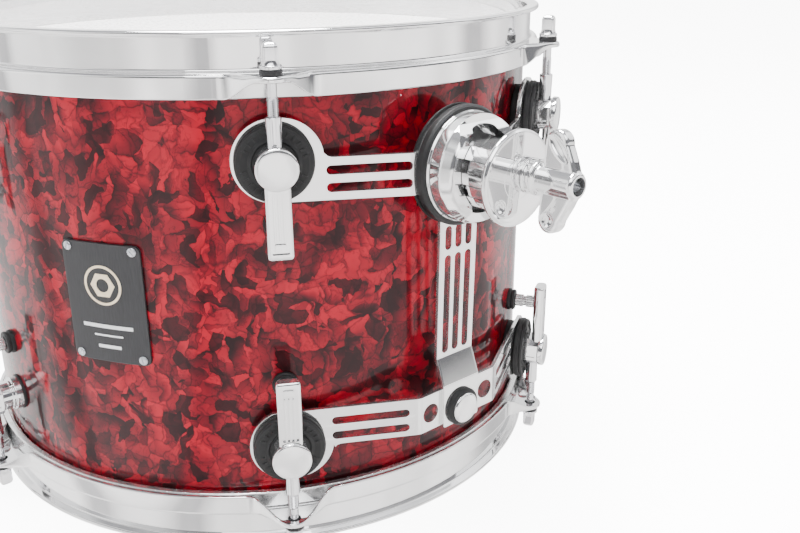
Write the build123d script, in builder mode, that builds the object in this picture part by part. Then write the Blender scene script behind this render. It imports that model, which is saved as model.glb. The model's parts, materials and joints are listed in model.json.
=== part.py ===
from build123d import *
from math import cos, radians, sin, sqrt
import os

os.makedirs("parts", exist_ok=True)

# A rack tom: a wrapped wooden shell between two heads, six lugs to a head, and a sprung-steel
# frame that carries the drum by four of its lugs and holds the clamp for a tom arm.
#
# Row frame, in millimetres: the origin is the centre of the lower hoop's rim, +Z runs up the
# drum's axis and -Y points at the clamp. Azimuths are in degrees, from -Y towards +X.
# A height is measured from mid-depth towards the batter head (side 1) or the resonant head
# (side -1), and a distance is measured outward from the drum's axis.

BATTER = 1
RESONANT = -1
SIDES = {"batter": BATTER, "resonant": RESONANT}

# Shell and wrap
SHELL_RADIUS = 152.4
WRAP_THICKNESS = 0.6
PLY_RADIUS = SHELL_RADIUS - WRAP_THICKNESS
SHELL_THICKNESS = 6.0
INNER_RADIUS = PLY_RADIUS - SHELL_THICKNESS
EDGE_HEIGHT = 101.6
EDGE_RADIUS = PLY_RADIUS - 2.0
WRAP_HEIGHT = 98.6

# Heads
FILM_THICKNESS = 0.4
COLLAR_RADIUS = 153.2
COLLAR_TOP = 98.6
COLLAR_FOOT = 94.0
FLESH_HOOP_OUTER = 157.0
FLESH_HOOP_FOOT = 92.8

# Flanged hoops
HOOP_HALF_HEIGHT = 120.0
HOOP_THICKNESS = 2.3
HOOP_WALL_RADIUS = 153.0
HOOP_OUTER_RADIUS = 159.4
FLANGE_TOP = 103.6
FLANGE_UNDERSIDE = FLANGE_TOP - HOOP_THICKNESS
SKIRT_FOOT = 93.1
MID_Z = HOOP_HALF_HEIGHT

# Hoop ears
EAR_TIP_RADIUS = 7.0
EAR_TIP_DISTANCE = 166.2
EAR_HALF_WIDTH = 16.0
EAR_ROOT_RADIUS = 1.6
EAR_HOLE_RADIUS = 3.1
ARCH_HALF_WIDTH = 19.0

# Tension rods, nuts and washers
LUG_AZIMUTHS = [30 + 60 * i for i in range(6)]
ROD_DISTANCE = 167.2
ROD_RADIUS = 2.45
ROD_END = 71.0
ROD_SEAT = FLANGE_TOP + 2.4
ROD_FLANGE_RADIUS = 4.5
ROD_FLANGE_TOP = ROD_SEAT + 1.6
ROD_KEY_WIDTH = 6.35
ROD_TOP = 116.4
RUNNING_CLEARANCE = 0.05
NUT_RADIUS = 3.4
NUT_TOP = 87.3
NUT_FOOT = 69.5

# Lugs
LUG_HEIGHT = 67.0
LUG_CAP_RADIUS = 9.0
LUG_BODY_BACK = 163.0
LUG_CROWN_EDGE = 173.4
LUG_FACE = 175.0
LUG_CROWN_DEPTH = LUG_FACE - LUG_CROWN_EDGE
LUG_CROWN_RADIUS = (LUG_CAP_RADIUS**2 + LUG_CROWN_DEPTH**2) / (2 * LUG_CROWN_DEPTH)
LUG_FOOT_RADIUS = 8.5
LUG_WAIST_RADIUS = 7.6
LUG_STEP_DISTANCE = 157.0
GASKET_FRONT = 153.4
NECK_RADIUS = 6.0
NECK_BACK = 152.6
BAR_WIDTH = 11.0
BAR_BACK = 167.0
BAR_FRONT = 172.8
BAR_TOP = 61.0
BAR_END = 28.4
GROOVE_DEPTH = 0.8
STUD_HEIGHT = 38.5
STUD_RADIUS = 3.5
STUD_PIN_RADIUS = 2.0
GROMMET_RADIUS = 6.0
GROMMET_NECK_RADIUS = 4.0
GROMMET_FRONT = 156.3
LUG_SCREW_RADIUS = 2.45
LUG_SCREW_HOLE_RADIUS = 3.2
LUG_SCREW_END = 161.0
WASHER_FRONT = 145.5

# Suspension frame: two bent bands on four rubber mounts, and a strap that joins them
FRAME_THICKNESS = 2.0
LUG_FACET = 158.5
RING_RADIUS = 18.0
RING_HEIGHT = 67.2
RING_HOLE_RADIUS = 11.0
RUBBER_RADIUS = 16.75
RUBBER_BACK_RADIUS = 14.5
RUBBER_FRONT = 163.8
UPPER_FACET = 166.8
LOWER_FACET = 168.5
UPPER_BAND = (48.8, 67.8)
LOWER_BAND = (50.3, 69.6)
UPPER_SLOTS = (54.6, 62.2)
LOWER_SLOTS = (57.2, 64.9)
SLOT_HEIGHT = 3.8
UPPER_SLOT_ENDS = (21.6, 58.6)
LOWER_SLOT_ENDS = (20.3, 57.2)
RING_STRETCH = 3.0
RING_WAIST = 26.0
LOWER_HOLE_RADIUS = 4.8
LOWER_HOLE_OFFSET = 18.5
LOWER_HOLE_HEIGHT = -60.5
STRAP_WIDTH = 23.5
STRAP_KNEES = (-35.5, -49.0)
STRAP_END = -71.5
STRAP_FRONT = LOWER_FACET + FRAME_THICKNESS
STRAP_LEAN_TOP = 28.0
STRAP_KNEE_FRONT = 165.3
STRAP_SLOT_WIDTH = 4.0
STRAP_SLOT_SPACING = 6.5
STRAP_LONG_SLOT = (-8.6, 49.8)
STRAP_SHORT_SLOT = (24.7, 11.4)
JOINT_HEIGHT = -62.3
JOINT_HOLE_RADIUS = 4.2
JOINT_RUBBER_RADIUS = 9.6
JOINT_RUBBER_THICKNESS = 2.4
JOINT_BOLT_RADIUS = 3.0
JOINT_HEAD_RADIUS = 7.6
JOINT_NUT_RADIUS = 5.8

# Clamp bracket for a tom arm
BRACKET_HEIGHT = 58.0
GASKET_RADIUS = 27.3
GASKET_SEAT = 168.3
GASKET_LIP = 171.0
GASKET_BACK = 159.8
GASKET_BACK_BORE = 23.4
BASE_RADIUS = 25.0
BASE_FLOOR = 172.0
BASE_SHOULDER = 175.0
BASE_RIM = 186.0
BASE_RIM_RADIUS = 20.0
BASE_WALL = 2.6
RIM_SLOPE = [
    (187.0, -26.0),
    (187.0, 26.0),
    (178.0, 26.0),
    (178.0, 21.0),
    (183.8, 14.0),
    (184.2, 0.0),
    (186.0, -14.0),
]
BRACKET_SCREW_CIRCLE = 19.0
BRACKET_SCREW_RADIUS = 2.0
BRACKET_SCREW_ANGLES = (90, 210, 330)
SCREW_REACH = GASKET_SEAT + 2.6 - UPPER_FACET + FRAME_THICKNESS
ARM_RADIUS = 5.25
ARM_OFFSET = -5.0
ARM_DISTANCE = 188.0
JAW_HALF_HEIGHT = 13.0
JAW_GAP = 1.0
JAW_LEFT = -10.8
JAW_RIGHT = 12.6
JAW_RADIUS = 17.0
TOOTH_HEIGHT = 4.8
FIXED_TEETH = (-10.4, 0, 10.4)
SLIDING_TEETH = (-5.2, 5.2)
PLATE_RADIUS = 21.0
PLATE_BACK = 199.2
PLATE_FRONT = 201.7
STUD_OFFSET = 8.0
CLAMP_STUD_RADIUS = 4.0
CLAMP_STUD_END = 214.0
WASHER_FACE = 202.9
WING_FLANGE_RADIUS = 7.4
WING_FLANGE_FACE = 206.4
WING_HUB_RADIUS = 5.7
WING_END = 226.8
WING_TIP = (215.4, 16.3, 5.4)
WING_ROOTS = (213.0, 223.4)
WING_ROOT_RADIUS = 3.0
WING_THICKNESS = 6.4

# Badge
BADGE_AZIMUTH = -60
BADGE_WIDTH = 40.0
BADGE_HEIGHT = 57.5
BADGE_THICKNESS = 1.6
BADGE_SCREW_X = 16.5
BADGE_SCREW_Z = 26.0
BADGE_SCREW_HOLE = 1.1
BADGE_FACE = SHELL_RADIUS + BADGE_THICKNESS

# Air vent
VENT_AZIMUTH = 180
VENT_BARREL_RADIUS = 6.0
VENT_BORE_RADIUS = 4.0


def outward(azimuth):
    """The level direction that leads away from the drum's axis at an azimuth."""
    return Vector(sin(radians(azimuth)), -cos(radians(azimuth)), 0)


def face_plane(azimuth, distance, height=0.0, side=BATTER):
    """An upright plane facing outward: x along the tangent, y towards the head of that side."""
    out = outward(azimuth)
    along = Vector(-out.Y, out.X, 0) * side
    return Plane(origin=out * distance + Vector(0, 0, MID_Z + side * height), x_dir=along, z_dir=out)


def spoke_plane(azimuth, height=0.0, side=BATTER):
    """An upright plane through the drum's axis: x outward, y towards the head of that side."""
    out = outward(azimuth)
    away = Vector(out.Y, -out.X, 0) * side
    return Plane(origin=(0, 0, MID_Z + side * height), x_dir=out, z_dir=away)


def level_plane(azimuth, distance, height, side=BATTER):
    """A level plane: x outward, z towards the head of that side."""
    out = outward(azimuth)
    origin = out * distance + Vector(0, 0, MID_Z + side * height)
    return Plane(origin=origin, x_dir=out, z_dir=(0, 0, side))


def save(builder, name):
    """Label a finished piece and write it."""
    builder.part.label = name
    export_step(builder.part, f"parts/{name}.step")


def round_bar(plane, radius, length, mode=Mode.ADD):
    """A round bar that starts at a plane and runs along its normal."""
    with BuildSketch(plane) as section:
        Circle(radius)
    extrude(section.sketch, amount=length, mode=mode)


def turned(plane, points, mode=Mode.ADD):
    """A solid turned about the plane's x axis, from an outline of (x, radius) points."""
    with BuildSketch(plane) as outline:
        with BuildLine():
            Polyline(*points, close=True)
        make_face()
    revolve(outline.sketch, axis=Axis(plane.origin, plane.x_dir), mode=mode)


def trim_to_shell(radius=SHELL_RADIUS):
    """Cut a piece to the shell's round outer face."""
    with BuildSketch(Plane.XY) as core:
        Circle(radius)
    extrude(core.sketch, amount=2 * MID_Z, mode=Mode.SUBTRACT)


def is_frame_lug(azimuth):
    """The frame hangs from the lugs on each side of the clamp."""
    return azimuth in (LUG_AZIMUTHS[0], LUG_AZIMUTHS[-1])


# ---------------------------------------------------------------- shell


def shell_holes(start, end):
    """The holes through the shell for lug screws, stud grommets, badge screws and the vent."""
    for azimuth in LUG_AZIMUTHS:
        for side in SIDES.values():
            for height, radius in ((LUG_HEIGHT, LUG_SCREW_HOLE_RADIUS), (STUD_HEIGHT, GROMMET_NECK_RADIUS)):
                round_bar(face_plane(azimuth, start, height, side), radius, end - start, Mode.SUBTRACT)
    round_bar(face_plane(VENT_AZIMUTH, start), VENT_BARREL_RADIUS, end - start, Mode.SUBTRACT)
    with BuildSketch(face_plane(BADGE_AZIMUTH, start)) as screw_holes:
        with GridLocations(2 * BADGE_SCREW_X, 2 * BADGE_SCREW_Z, 2, 2):
            Circle(BADGE_SCREW_HOLE)
    extrude(screw_holes.sketch, amount=end - start, mode=Mode.SUBTRACT)


with BuildPart() as shell:
    with BuildSketch(spoke_plane(0)) as ply_section:
        with BuildLine():
            Polyline(
                (INNER_RADIUS, -EDGE_HEIGHT + 4),
                (EDGE_RADIUS, -EDGE_HEIGHT),
                (PLY_RADIUS, -EDGE_HEIGHT + 2.2),
                (PLY_RADIUS, EDGE_HEIGHT - 2.2),
                (EDGE_RADIUS, EDGE_HEIGHT),
                (INNER_RADIUS, EDGE_HEIGHT - 4),
                close=True,
            )
        make_face()
    revolve(axis=Axis.Z)
    shell_holes(INNER_RADIUS - 8, SHELL_RADIUS + 2)
save(shell, "shell")

with BuildPart() as shell_wrap:
    with BuildSketch(Plane.XY.offset(MID_Z - WRAP_HEIGHT)):
        Circle(SHELL_RADIUS)
        Circle(PLY_RADIUS, mode=Mode.SUBTRACT)
    extrude(amount=2 * WRAP_HEIGHT)
    shell_holes(INNER_RADIUS - 8, SHELL_RADIUS + 2)
save(shell_wrap, "shell_wrap")

with BuildPart() as vent_grommet:
    turned(
        spoke_plane(VENT_AZIMUTH),
        [
            (INNER_RADIUS - 1.2, VENT_BORE_RADIUS),
            (INNER_RADIUS - 1.2, VENT_BARREL_RADIUS + 1.5),
            (INNER_RADIUS - 0.4, VENT_BARREL_RADIUS + 1.5),
            (INNER_RADIUS - 0.4, VENT_BARREL_RADIUS),
            (SHELL_RADIUS, VENT_BARREL_RADIUS),
            (SHELL_RADIUS, VENT_BARREL_RADIUS + 3),
            (SHELL_RADIUS + 1.0, VENT_BARREL_RADIUS + 3),
            (SHELL_RADIUS + 1.6, VENT_BARREL_RADIUS + 1.5),
            (SHELL_RADIUS + 1.6, VENT_BORE_RADIUS + 0.6),
            (SHELL_RADIUS + 1.0, VENT_BORE_RADIUS),
        ],
    )
save(vent_grommet, "vent_grommet")


# ---------------------------------------------------------------- heads and hoops


def head_film(name, side):
    """The head's film, tucked over the bearing edge and down into its flesh hoop."""
    with BuildPart() as film:
        with BuildSketch(spoke_plane(0, 0, side)) as section:
            with BuildLine():
                Polyline(
                    (0, EDGE_HEIGHT),
                    (EDGE_RADIUS + 0.4, EDGE_HEIGHT),
                    (COLLAR_RADIUS, COLLAR_TOP),
                    (COLLAR_RADIUS, COLLAR_FOOT),
                    (COLLAR_RADIUS + FILM_THICKNESS, COLLAR_FOOT),
                    (COLLAR_RADIUS + FILM_THICKNESS, COLLAR_TOP + 0.2),
                    (EDGE_RADIUS + 0.6, EDGE_HEIGHT + FILM_THICKNESS),
                    (0, EDGE_HEIGHT + FILM_THICKNESS),
                    close=True,
                )
            make_face()
        revolve(section.sketch, axis=Axis.Z)
    save(film, name)


def flesh_hoop(name, side):
    """The head's stiff ring, between the collar and the hoop's skirt."""
    with BuildPart() as ring:
        with BuildSketch(level_plane(0, 0, FLESH_HOOP_FOOT, side)) as section:
            Circle(FLESH_HOOP_OUTER)
            Circle(COLLAR_RADIUS + FILM_THICKNESS, mode=Mode.SUBTRACT)
        extrude(section.sketch, amount=FLANGE_UNDERSIDE - FLESH_HOOP_FOOT)
    save(ring, name)


def hoop_section(side):
    """The hoop's section: rim lip, wall, flange and skirt, with rounded bends."""
    wall_front = HOOP_WALL_RADIUS + HOOP_THICKNESS
    skirt_back = HOOP_OUTER_RADIUS - HOOP_THICKNESS
    lip_underside = HOOP_HALF_HEIGHT - HOOP_THICKNESS
    with BuildSketch(spoke_plane(0, 0, side)) as section:
        with BuildLine():
            Polyline(
                (HOOP_WALL_RADIUS, FLANGE_UNDERSIDE),
                (HOOP_WALL_RADIUS, HOOP_HALF_HEIGHT),
                (HOOP_OUTER_RADIUS, HOOP_HALF_HEIGHT),
                (HOOP_OUTER_RADIUS, lip_underside),
                (wall_front, lip_underside),
                (wall_front, FLANGE_TOP),
                (HOOP_OUTER_RADIUS, FLANGE_TOP),
                (HOOP_OUTER_RADIUS, SKIRT_FOOT),
                (skirt_back, SKIRT_FOOT),
                (skirt_back, FLANGE_UNDERSIDE),
                close=True,
            )
        make_face()
        bends = section.vertices()
        outer = bends.filter_by_position(Axis.X, HOOP_OUTER_RADIUS - 0.1, HOOP_OUTER_RADIUS + 0.1)
        fillet(outer.filter_by_position(Axis.Y, lip_underside - 0.1, HOOP_HALF_HEIGHT + 0.1), 1.1)
        bends = section.vertices()
        inner_lip = bends.filter_by_position(Axis.X, HOOP_WALL_RADIUS - 0.1, HOOP_WALL_RADIUS + 0.1)
        fillet(inner_lip.sort_by(Axis.Y)[-1], 1.4)
        bends = section.vertices()
        flange_corner = bends.filter_by_position(Axis.Y, FLANGE_TOP - 0.1, FLANGE_TOP + 0.1)
        fillet(flange_corner, 1.9)
    return section.sketch


def ear_outline(plane, inset):
    """An ear's outline from above, or its hollow, drawn in by an inset."""
    with BuildSketch(plane) as outline:
        with Locations((EAR_TIP_DISTANCE, 0)):
            Circle(EAR_TIP_RADIUS - inset)
        with Locations((HOOP_OUTER_RADIUS - 1.9 - inset, -EAR_HALF_WIDTH + inset)):
            Circle(EAR_ROOT_RADIUS)
        with Locations((HOOP_OUTER_RADIUS - 1.9 - inset, EAR_HALF_WIDTH - inset)):
            Circle(EAR_ROOT_RADIUS)
        make_hull()
    return outline.sketch


def hoop(name, side):
    """A triple-flanged hoop with an ear at each tension rod, hollow underneath."""
    with BuildPart() as rim:
        revolve(hoop_section(side), axis=Axis.Z)
        for azimuth in LUG_AZIMUTHS:
            ear = ear_outline(level_plane(azimuth, 0, SKIRT_FOOT, side), 0)
            extrude(ear, amount=FLANGE_TOP - SKIRT_FOOT)
        with BuildSketch(level_plane(0, 0, SKIRT_FOOT - 1, side)) as flesh_hoop_space:
            Circle(HOOP_OUTER_RADIUS - HOOP_THICKNESS)
        extrude(flesh_hoop_space.sketch, amount=FLANGE_UNDERSIDE - SKIRT_FOOT + 1, mode=Mode.SUBTRACT)
        for azimuth in LUG_AZIMUTHS:
            hollow = ear_outline(level_plane(azimuth, 0, SKIRT_FOOT - 1, side), HOOP_THICKNESS)
            extrude(hollow, amount=FLANGE_UNDERSIDE - SKIRT_FOOT + 1, mode=Mode.SUBTRACT)
            with BuildSketch(face_plane(azimuth, FLESH_HOOP_OUTER, 0, side)) as arch:
                with BuildLine():
                    left = (-ARCH_HALF_WIDTH, SKIRT_FOOT - 1)
                    right = (ARCH_HALF_WIDTH, SKIRT_FOOT - 1)
                    shoulder = FLANGE_UNDERSIDE - 0.7
                    flank = (SKIRT_FOOT + FLANGE_UNDERSIDE) / 2 - 1
                    Spline(left, (-12, flank), (-6, shoulder), (6, shoulder), (12, flank), right)
                    Line(right, left)
                make_face()
            extrude(arch.sketch, amount=EAR_TIP_DISTANCE - SHELL_RADIUS, mode=Mode.SUBTRACT)
            bolt_hole = level_plane(azimuth, ROD_DISTANCE, SKIRT_FOOT, side)
            round_bar(bolt_hole, EAR_HOLE_RADIUS, FLANGE_TOP - SKIRT_FOOT + 1, Mode.SUBTRACT)
    save(rim, name)


def rod_washers(name, side):
    """Six washers between the hoop's ears and the rod heads."""
    with BuildPart() as washers:
        for azimuth in LUG_AZIMUTHS:
            with BuildSketch(level_plane(azimuth, ROD_DISTANCE, FLANGE_TOP, side)) as washer:
                Circle(ROD_FLANGE_RADIUS + 0.1)
                Circle(ROD_RADIUS + 0.25, mode=Mode.SUBTRACT)
            extrude(washer.sketch, amount=ROD_SEAT - FLANGE_TOP)
    save(washers, name)


def tension_rod(name, azimuth, side):
    """A rod with a flange and a square head for a drum key."""
    with BuildPart() as rod:
        round_bar(level_plane(azimuth, ROD_DISTANCE, ROD_END, side), ROD_RADIUS, ROD_SEAT - ROD_END)
        round_bar(
            level_plane(azimuth, ROD_DISTANCE, ROD_SEAT, side), ROD_FLANGE_RADIUS, ROD_FLANGE_TOP - ROD_SEAT
        )
        with BuildSketch(level_plane(azimuth, ROD_DISTANCE, ROD_FLANGE_TOP, side)) as key:
            RectangleRounded(ROD_KEY_WIDTH, ROD_KEY_WIDTH, 0.8)
        extrude(key.sketch, amount=ROD_TOP - 1.5 - ROD_FLANGE_TOP)
        with BuildSketch(level_plane(azimuth, ROD_DISTANCE, ROD_TOP - 1.5, side)) as top:
            RectangleRounded(ROD_KEY_WIDTH, ROD_KEY_WIDTH, 0.8)
        extrude(top.sketch, amount=1.5, taper=35)
    save(rod, name)


for side_name, side in SIDES.items():
    head_film(f"{side_name}_head_film", side)
    flesh_hoop(f"{side_name}_flesh_hoop", side)
    hoop(f"{side_name}_hoop", side)
    rod_washers(f"{side_name}_rod_washers", side)
    for number, azimuth in enumerate(LUG_AZIMUTHS, start=1):
        tension_rod(f"{side_name}_rod_{number}", azimuth, side)


# ---------------------------------------------------------------- lugs


def lug(name, azimuth, side):
    """A lug: round crowned body, grooved bar towards mid-depth, and a foot or a neck for a rubber."""
    plane = spoke_plane(azimuth, LUG_HEIGHT, side)
    if is_frame_lug(azimuth):
        foot = [(NECK_BACK, 0), (NECK_BACK, NECK_RADIUS), (LUG_BODY_BACK, NECK_RADIUS)]
    else:
        foot = [
            (GASKET_FRONT, 0),
            (GASKET_FRONT, LUG_FOOT_RADIUS),
            (LUG_STEP_DISTANCE, LUG_FOOT_RADIUS),
            (LUG_STEP_DISTANCE, LUG_WAIST_RADIUS),
            (LUG_BODY_BACK, LUG_WAIST_RADIUS),
        ]
    halfway = LUG_CAP_RADIUS / 2
    crown_middle = (LUG_FACE - LUG_CROWN_RADIUS + sqrt(LUG_CROWN_RADIUS**2 - halfway**2), halfway)
    with BuildPart() as body:
        with BuildSketch(plane) as outline:
            with BuildLine():
                Polyline(*foot, (LUG_BODY_BACK, LUG_CAP_RADIUS), (LUG_CROWN_EDGE, LUG_CAP_RADIUS))
                ThreePointArc((LUG_CROWN_EDGE, LUG_CAP_RADIUS), crown_middle, (LUG_FACE, 0))
                Line((LUG_FACE, 0), foot[0])
            make_face()
        revolve(outline.sketch, axis=Axis(plane.origin, plane.x_dir))
        with BuildSketch(level_plane(azimuth, (BAR_BACK + BAR_FRONT) / 2, BAR_END, side)) as bar:
            RectangleRounded(BAR_FRONT - BAR_BACK, BAR_WIDTH, 1.2)
        extrude(bar.sketch, amount=BAR_TOP - BAR_END)
        with BuildSketch(face_plane(azimuth, BAR_FRONT, (BAR_TOP + BAR_END) / 2 - 3, side)) as grooves:
            with GridLocations(2.1, 0, 4, 1):
                SlotOverall(20, 1.1, rotation=90)
        extrude(grooves.sketch, amount=-GROOVE_DEPTH, mode=Mode.SUBTRACT)
        nut_seat = level_plane(azimuth, ROD_DISTANCE, NUT_FOOT, side)
        round_bar(nut_seat, NUT_RADIUS, NUT_TOP - NUT_FOOT, Mode.SUBTRACT)
        thread = face_plane(azimuth, NECK_BACK - 1, LUG_HEIGHT, side)
        round_bar(thread, LUG_SCREW_RADIUS + RUNNING_CLEARANCE, LUG_SCREW_END - NECK_BACK + 2, Mode.SUBTRACT)
        pin_hole = face_plane(azimuth, BAR_BACK, STUD_HEIGHT, side)
        round_bar(pin_hole, STUD_PIN_RADIUS, 3.0, Mode.SUBTRACT)
    save(body, name)


for side_name, side in SIDES.items():
    for number, azimuth in enumerate(LUG_AZIMUTHS, start=1):
        lug(f"{side_name}_lug_{number}", azimuth, side)

LUG_PLACES = [(azimuth, side) for side in SIDES.values() for azimuth in LUG_AZIMUTHS]
FRAME_PLACES = [place for place in LUG_PLACES if is_frame_lug(place[0])]
PLAIN_PLACES = [place for place in LUG_PLACES if not is_frame_lug(place[0])]

with BuildPart() as lug_nuts:
    for azimuth, side in LUG_PLACES:
        foot = level_plane(azimuth, ROD_DISTANCE, NUT_FOOT, side)
        round_bar(foot, NUT_RADIUS, NUT_TOP - NUT_FOOT)
    for azimuth, side in LUG_PLACES:
        foot = level_plane(azimuth, ROD_DISTANCE, NUT_FOOT, side)
        round_bar(foot, ROD_RADIUS + RUNNING_CLEARANCE, NUT_TOP - NUT_FOOT, Mode.SUBTRACT)
save(lug_nuts, "lug_nuts")

with BuildPart() as lug_gaskets:
    for azimuth, side in PLAIN_PLACES:
        with BuildSketch(face_plane(azimuth, SHELL_RADIUS - 1, LUG_HEIGHT, side)) as ring:
            Circle(LUG_FOOT_RADIUS + 0.6)
            Circle(LUG_SCREW_HOLE_RADIUS, mode=Mode.SUBTRACT)
        extrude(ring.sketch, amount=GASKET_FRONT - SHELL_RADIUS + 1)
    trim_to_shell()
save(lug_gaskets, "lug_gaskets")

with BuildPart() as lug_studs:
    for azimuth, side in LUG_PLACES:
        plane = spoke_plane(azimuth, STUD_HEIGHT, side)
        middle = (GROMMET_FRONT + BAR_BACK) / 2
        turned(
            plane,
            [
                (INNER_RADIUS + 0.5, 0),
                (INNER_RADIUS + 0.5, STUD_PIN_RADIUS),
                (GROMMET_FRONT, STUD_PIN_RADIUS),
                (GROMMET_FRONT, STUD_RADIUS),
                (middle - 1, STUD_RADIUS),
                (middle - 1, STUD_RADIUS - 0.5),
                (middle + 1, STUD_RADIUS - 0.5),
                (middle + 1, STUD_RADIUS),
                (BAR_BACK, STUD_RADIUS),
                (BAR_BACK, STUD_PIN_RADIUS),
                (BAR_BACK + 2.5, STUD_PIN_RADIUS),
                (BAR_BACK + 2.5, 0),
            ],
        )
save(lug_studs, "lug_studs")

with BuildPart() as lug_grommets:
    for azimuth, side in LUG_PLACES:
        turned(
            spoke_plane(azimuth, STUD_HEIGHT, side),
            [
                (INNER_RADIUS + 0.5, STUD_PIN_RADIUS),
                (INNER_RADIUS + 0.5, GROMMET_NECK_RADIUS),
                (SHELL_RADIUS, GROMMET_NECK_RADIUS),
                (SHELL_RADIUS, GROMMET_RADIUS),
                (GROMMET_FRONT - 1, GROMMET_RADIUS),
                (GROMMET_FRONT, GROMMET_RADIUS - 1),
                (GROMMET_FRONT, STUD_PIN_RADIUS),
            ],
        )
save(lug_grommets, "lug_grommets")

with BuildPart() as lug_screws:
    for azimuth, side in LUG_PLACES:
        turned(
            spoke_plane(azimuth, LUG_HEIGHT, side),
            [
                (WASHER_FRONT - 4.6, 0),
                (WASHER_FRONT - 4.6, 3.6),
                (WASHER_FRONT - 4.0, 4.2),
                (WASHER_FRONT - 1.2, 4.2),
                (WASHER_FRONT - 1.2, LUG_SCREW_RADIUS),
                (LUG_SCREW_END, LUG_SCREW_RADIUS),
                (LUG_SCREW_END, 0),
            ],
        )
save(lug_screws, "lug_screws")

with BuildPart() as lug_screw_washers:
    for azimuth, side in LUG_PLACES:
        with BuildSketch(face_plane(azimuth, WASHER_FRONT - 1.2, LUG_HEIGHT, side)) as washer:
            Circle(6.5)
            Circle(LUG_SCREW_RADIUS + 0.3, mode=Mode.SUBTRACT)
        extrude(washer.sketch, amount=1.2)
save(lug_screw_washers, "lug_screw_washers")


# ---------------------------------------------------------------- suspension frame


with BuildPart() as isolation_mounts:
    for azimuth, side in FRAME_PLACES:
        turned(
            spoke_plane(azimuth, LUG_HEIGHT, side),
            [
                (SHELL_RADIUS - 1, NECK_RADIUS),
                (SHELL_RADIUS - 1, RUBBER_BACK_RADIUS),
                (LUG_FACET - FRAME_THICKNESS, RUBBER_BACK_RADIUS),
                (LUG_FACET - FRAME_THICKNESS, RING_HOLE_RADIUS),
                (LUG_FACET, RING_HOLE_RADIUS),
                (LUG_FACET, RUBBER_RADIUS),
                (LUG_FACET + 3.4, RUBBER_RADIUS),
                (LUG_FACET + 3.8, RUBBER_RADIUS - 0.9),
                (LUG_FACET + 4.2, RUBBER_RADIUS),
                (RUBBER_FRONT - 0.8, RUBBER_RADIUS),
                (RUBBER_FRONT, RUBBER_RADIUS - 0.8),
                (RUBBER_FRONT, LUG_CAP_RADIUS),
                (LUG_BODY_BACK, LUG_CAP_RADIUS),
                (LUG_BODY_BACK, NECK_RADIUS),
            ],
        )
    trim_to_shell()
save(isolation_mounts, "isolation_mounts")


def bend_offset(facet, depth=0.0):
    """Where a band's middle facet meets its lug facets, measured along the middle facet."""
    tilt = radians(LUG_AZIMUTHS[0])
    return (LUG_FACET - depth - (facet - depth) * cos(tilt)) / sin(tilt)


def band_blank(facet, low, high, side):
    """A bent strip, seen from above as a middle facet and a lug facet at each end."""
    reach = RING_RADIUS
    ends = []
    for depth in (0.0, FRAME_THICKNESS):
        out = outward(LUG_AZIMUTHS[0])
        tangent = Vector(-out.Y, out.X, 0)
        tip = out * (LUG_FACET - depth) + tangent * reach
        knee = Vector(bend_offset(facet, depth), -(facet - depth), 0)
        ends.append((tip, knee))
    (front_tip, front_knee), (back_tip, back_knee) = ends
    right = [front_knee, front_tip, back_tip, back_knee]
    left = [Vector(-point.X, point.Y, 0) for point in reversed(right)]
    with BuildSketch(Plane.XY.offset(MID_Z + min(side * low, side * high))) as plan:
        with BuildLine():
            Polyline(*[(point.X, point.Y) for point in right + left], close=True)
        make_face()
    extrude(plan.sketch, amount=high - low)


def ring_facet(azimuth, side, band, slots, slot_ends):
    """Shape one end of a band: the ring round its rubber, a waist beside it, and its slots."""
    low, high = band
    inward = -1 if azimuth == LUG_AZIMUTHS[0] else 1
    inward = inward * side
    plane = face_plane(azimuth, LUG_FACET, 0, side)
    cutter_plane = plane.offset(-FRAME_THICKNESS - 1)
    with BuildSketch(cutter_plane) as trim:
        with Locations((-inward * RING_RADIUS / 2, (low + high) / 2)):
            Rectangle(RING_RADIUS + 1, high - low + 2)
        with Locations((0, RING_HEIGHT)):
            Circle(RING_RADIUS, mode=Mode.SUBTRACT)
    extrude(trim.sketch, amount=FRAME_THICKNESS + 2, mode=Mode.SUBTRACT)
    with BuildSketch(plane) as ring:
        with Locations((0, RING_HEIGHT), (inward * RING_STRETCH, RING_HEIGHT)):
            Circle(RING_RADIUS)
        with BuildLine():
            shoulder = RING_STRETCH + sqrt(RING_RADIUS**2 - (high + 4 - RING_HEIGHT) ** 2)
            Polyline(
                (0, RING_HEIGHT),
                (inward * shoulder, high + 4),
                (inward * (shoulder + 0.6), high + 2.2),
                (inward * (shoulder + 1.8), high + 0.9),
                (inward * (shoulder + 3.6), high + 0.2),
                (inward * RING_WAIST, high),
                (inward * RING_WAIST, low),
                (0, low),
                close=True,
            )
        make_face()
    extrude(ring.sketch, amount=-FRAME_THICKNESS)
    with BuildSketch(cutter_plane) as openings:
        with Locations((0, LUG_HEIGHT)):
            Circle(RING_HOLE_RADIUS)
        for height in slots:
            with Locations((inward * sum(slot_ends) / 2, height)):
                SlotOverall(slot_ends[1] - slot_ends[0], SLOT_HEIGHT)
    extrude(openings.sketch, amount=FRAME_THICKNESS + 2, mode=Mode.SUBTRACT)


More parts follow.
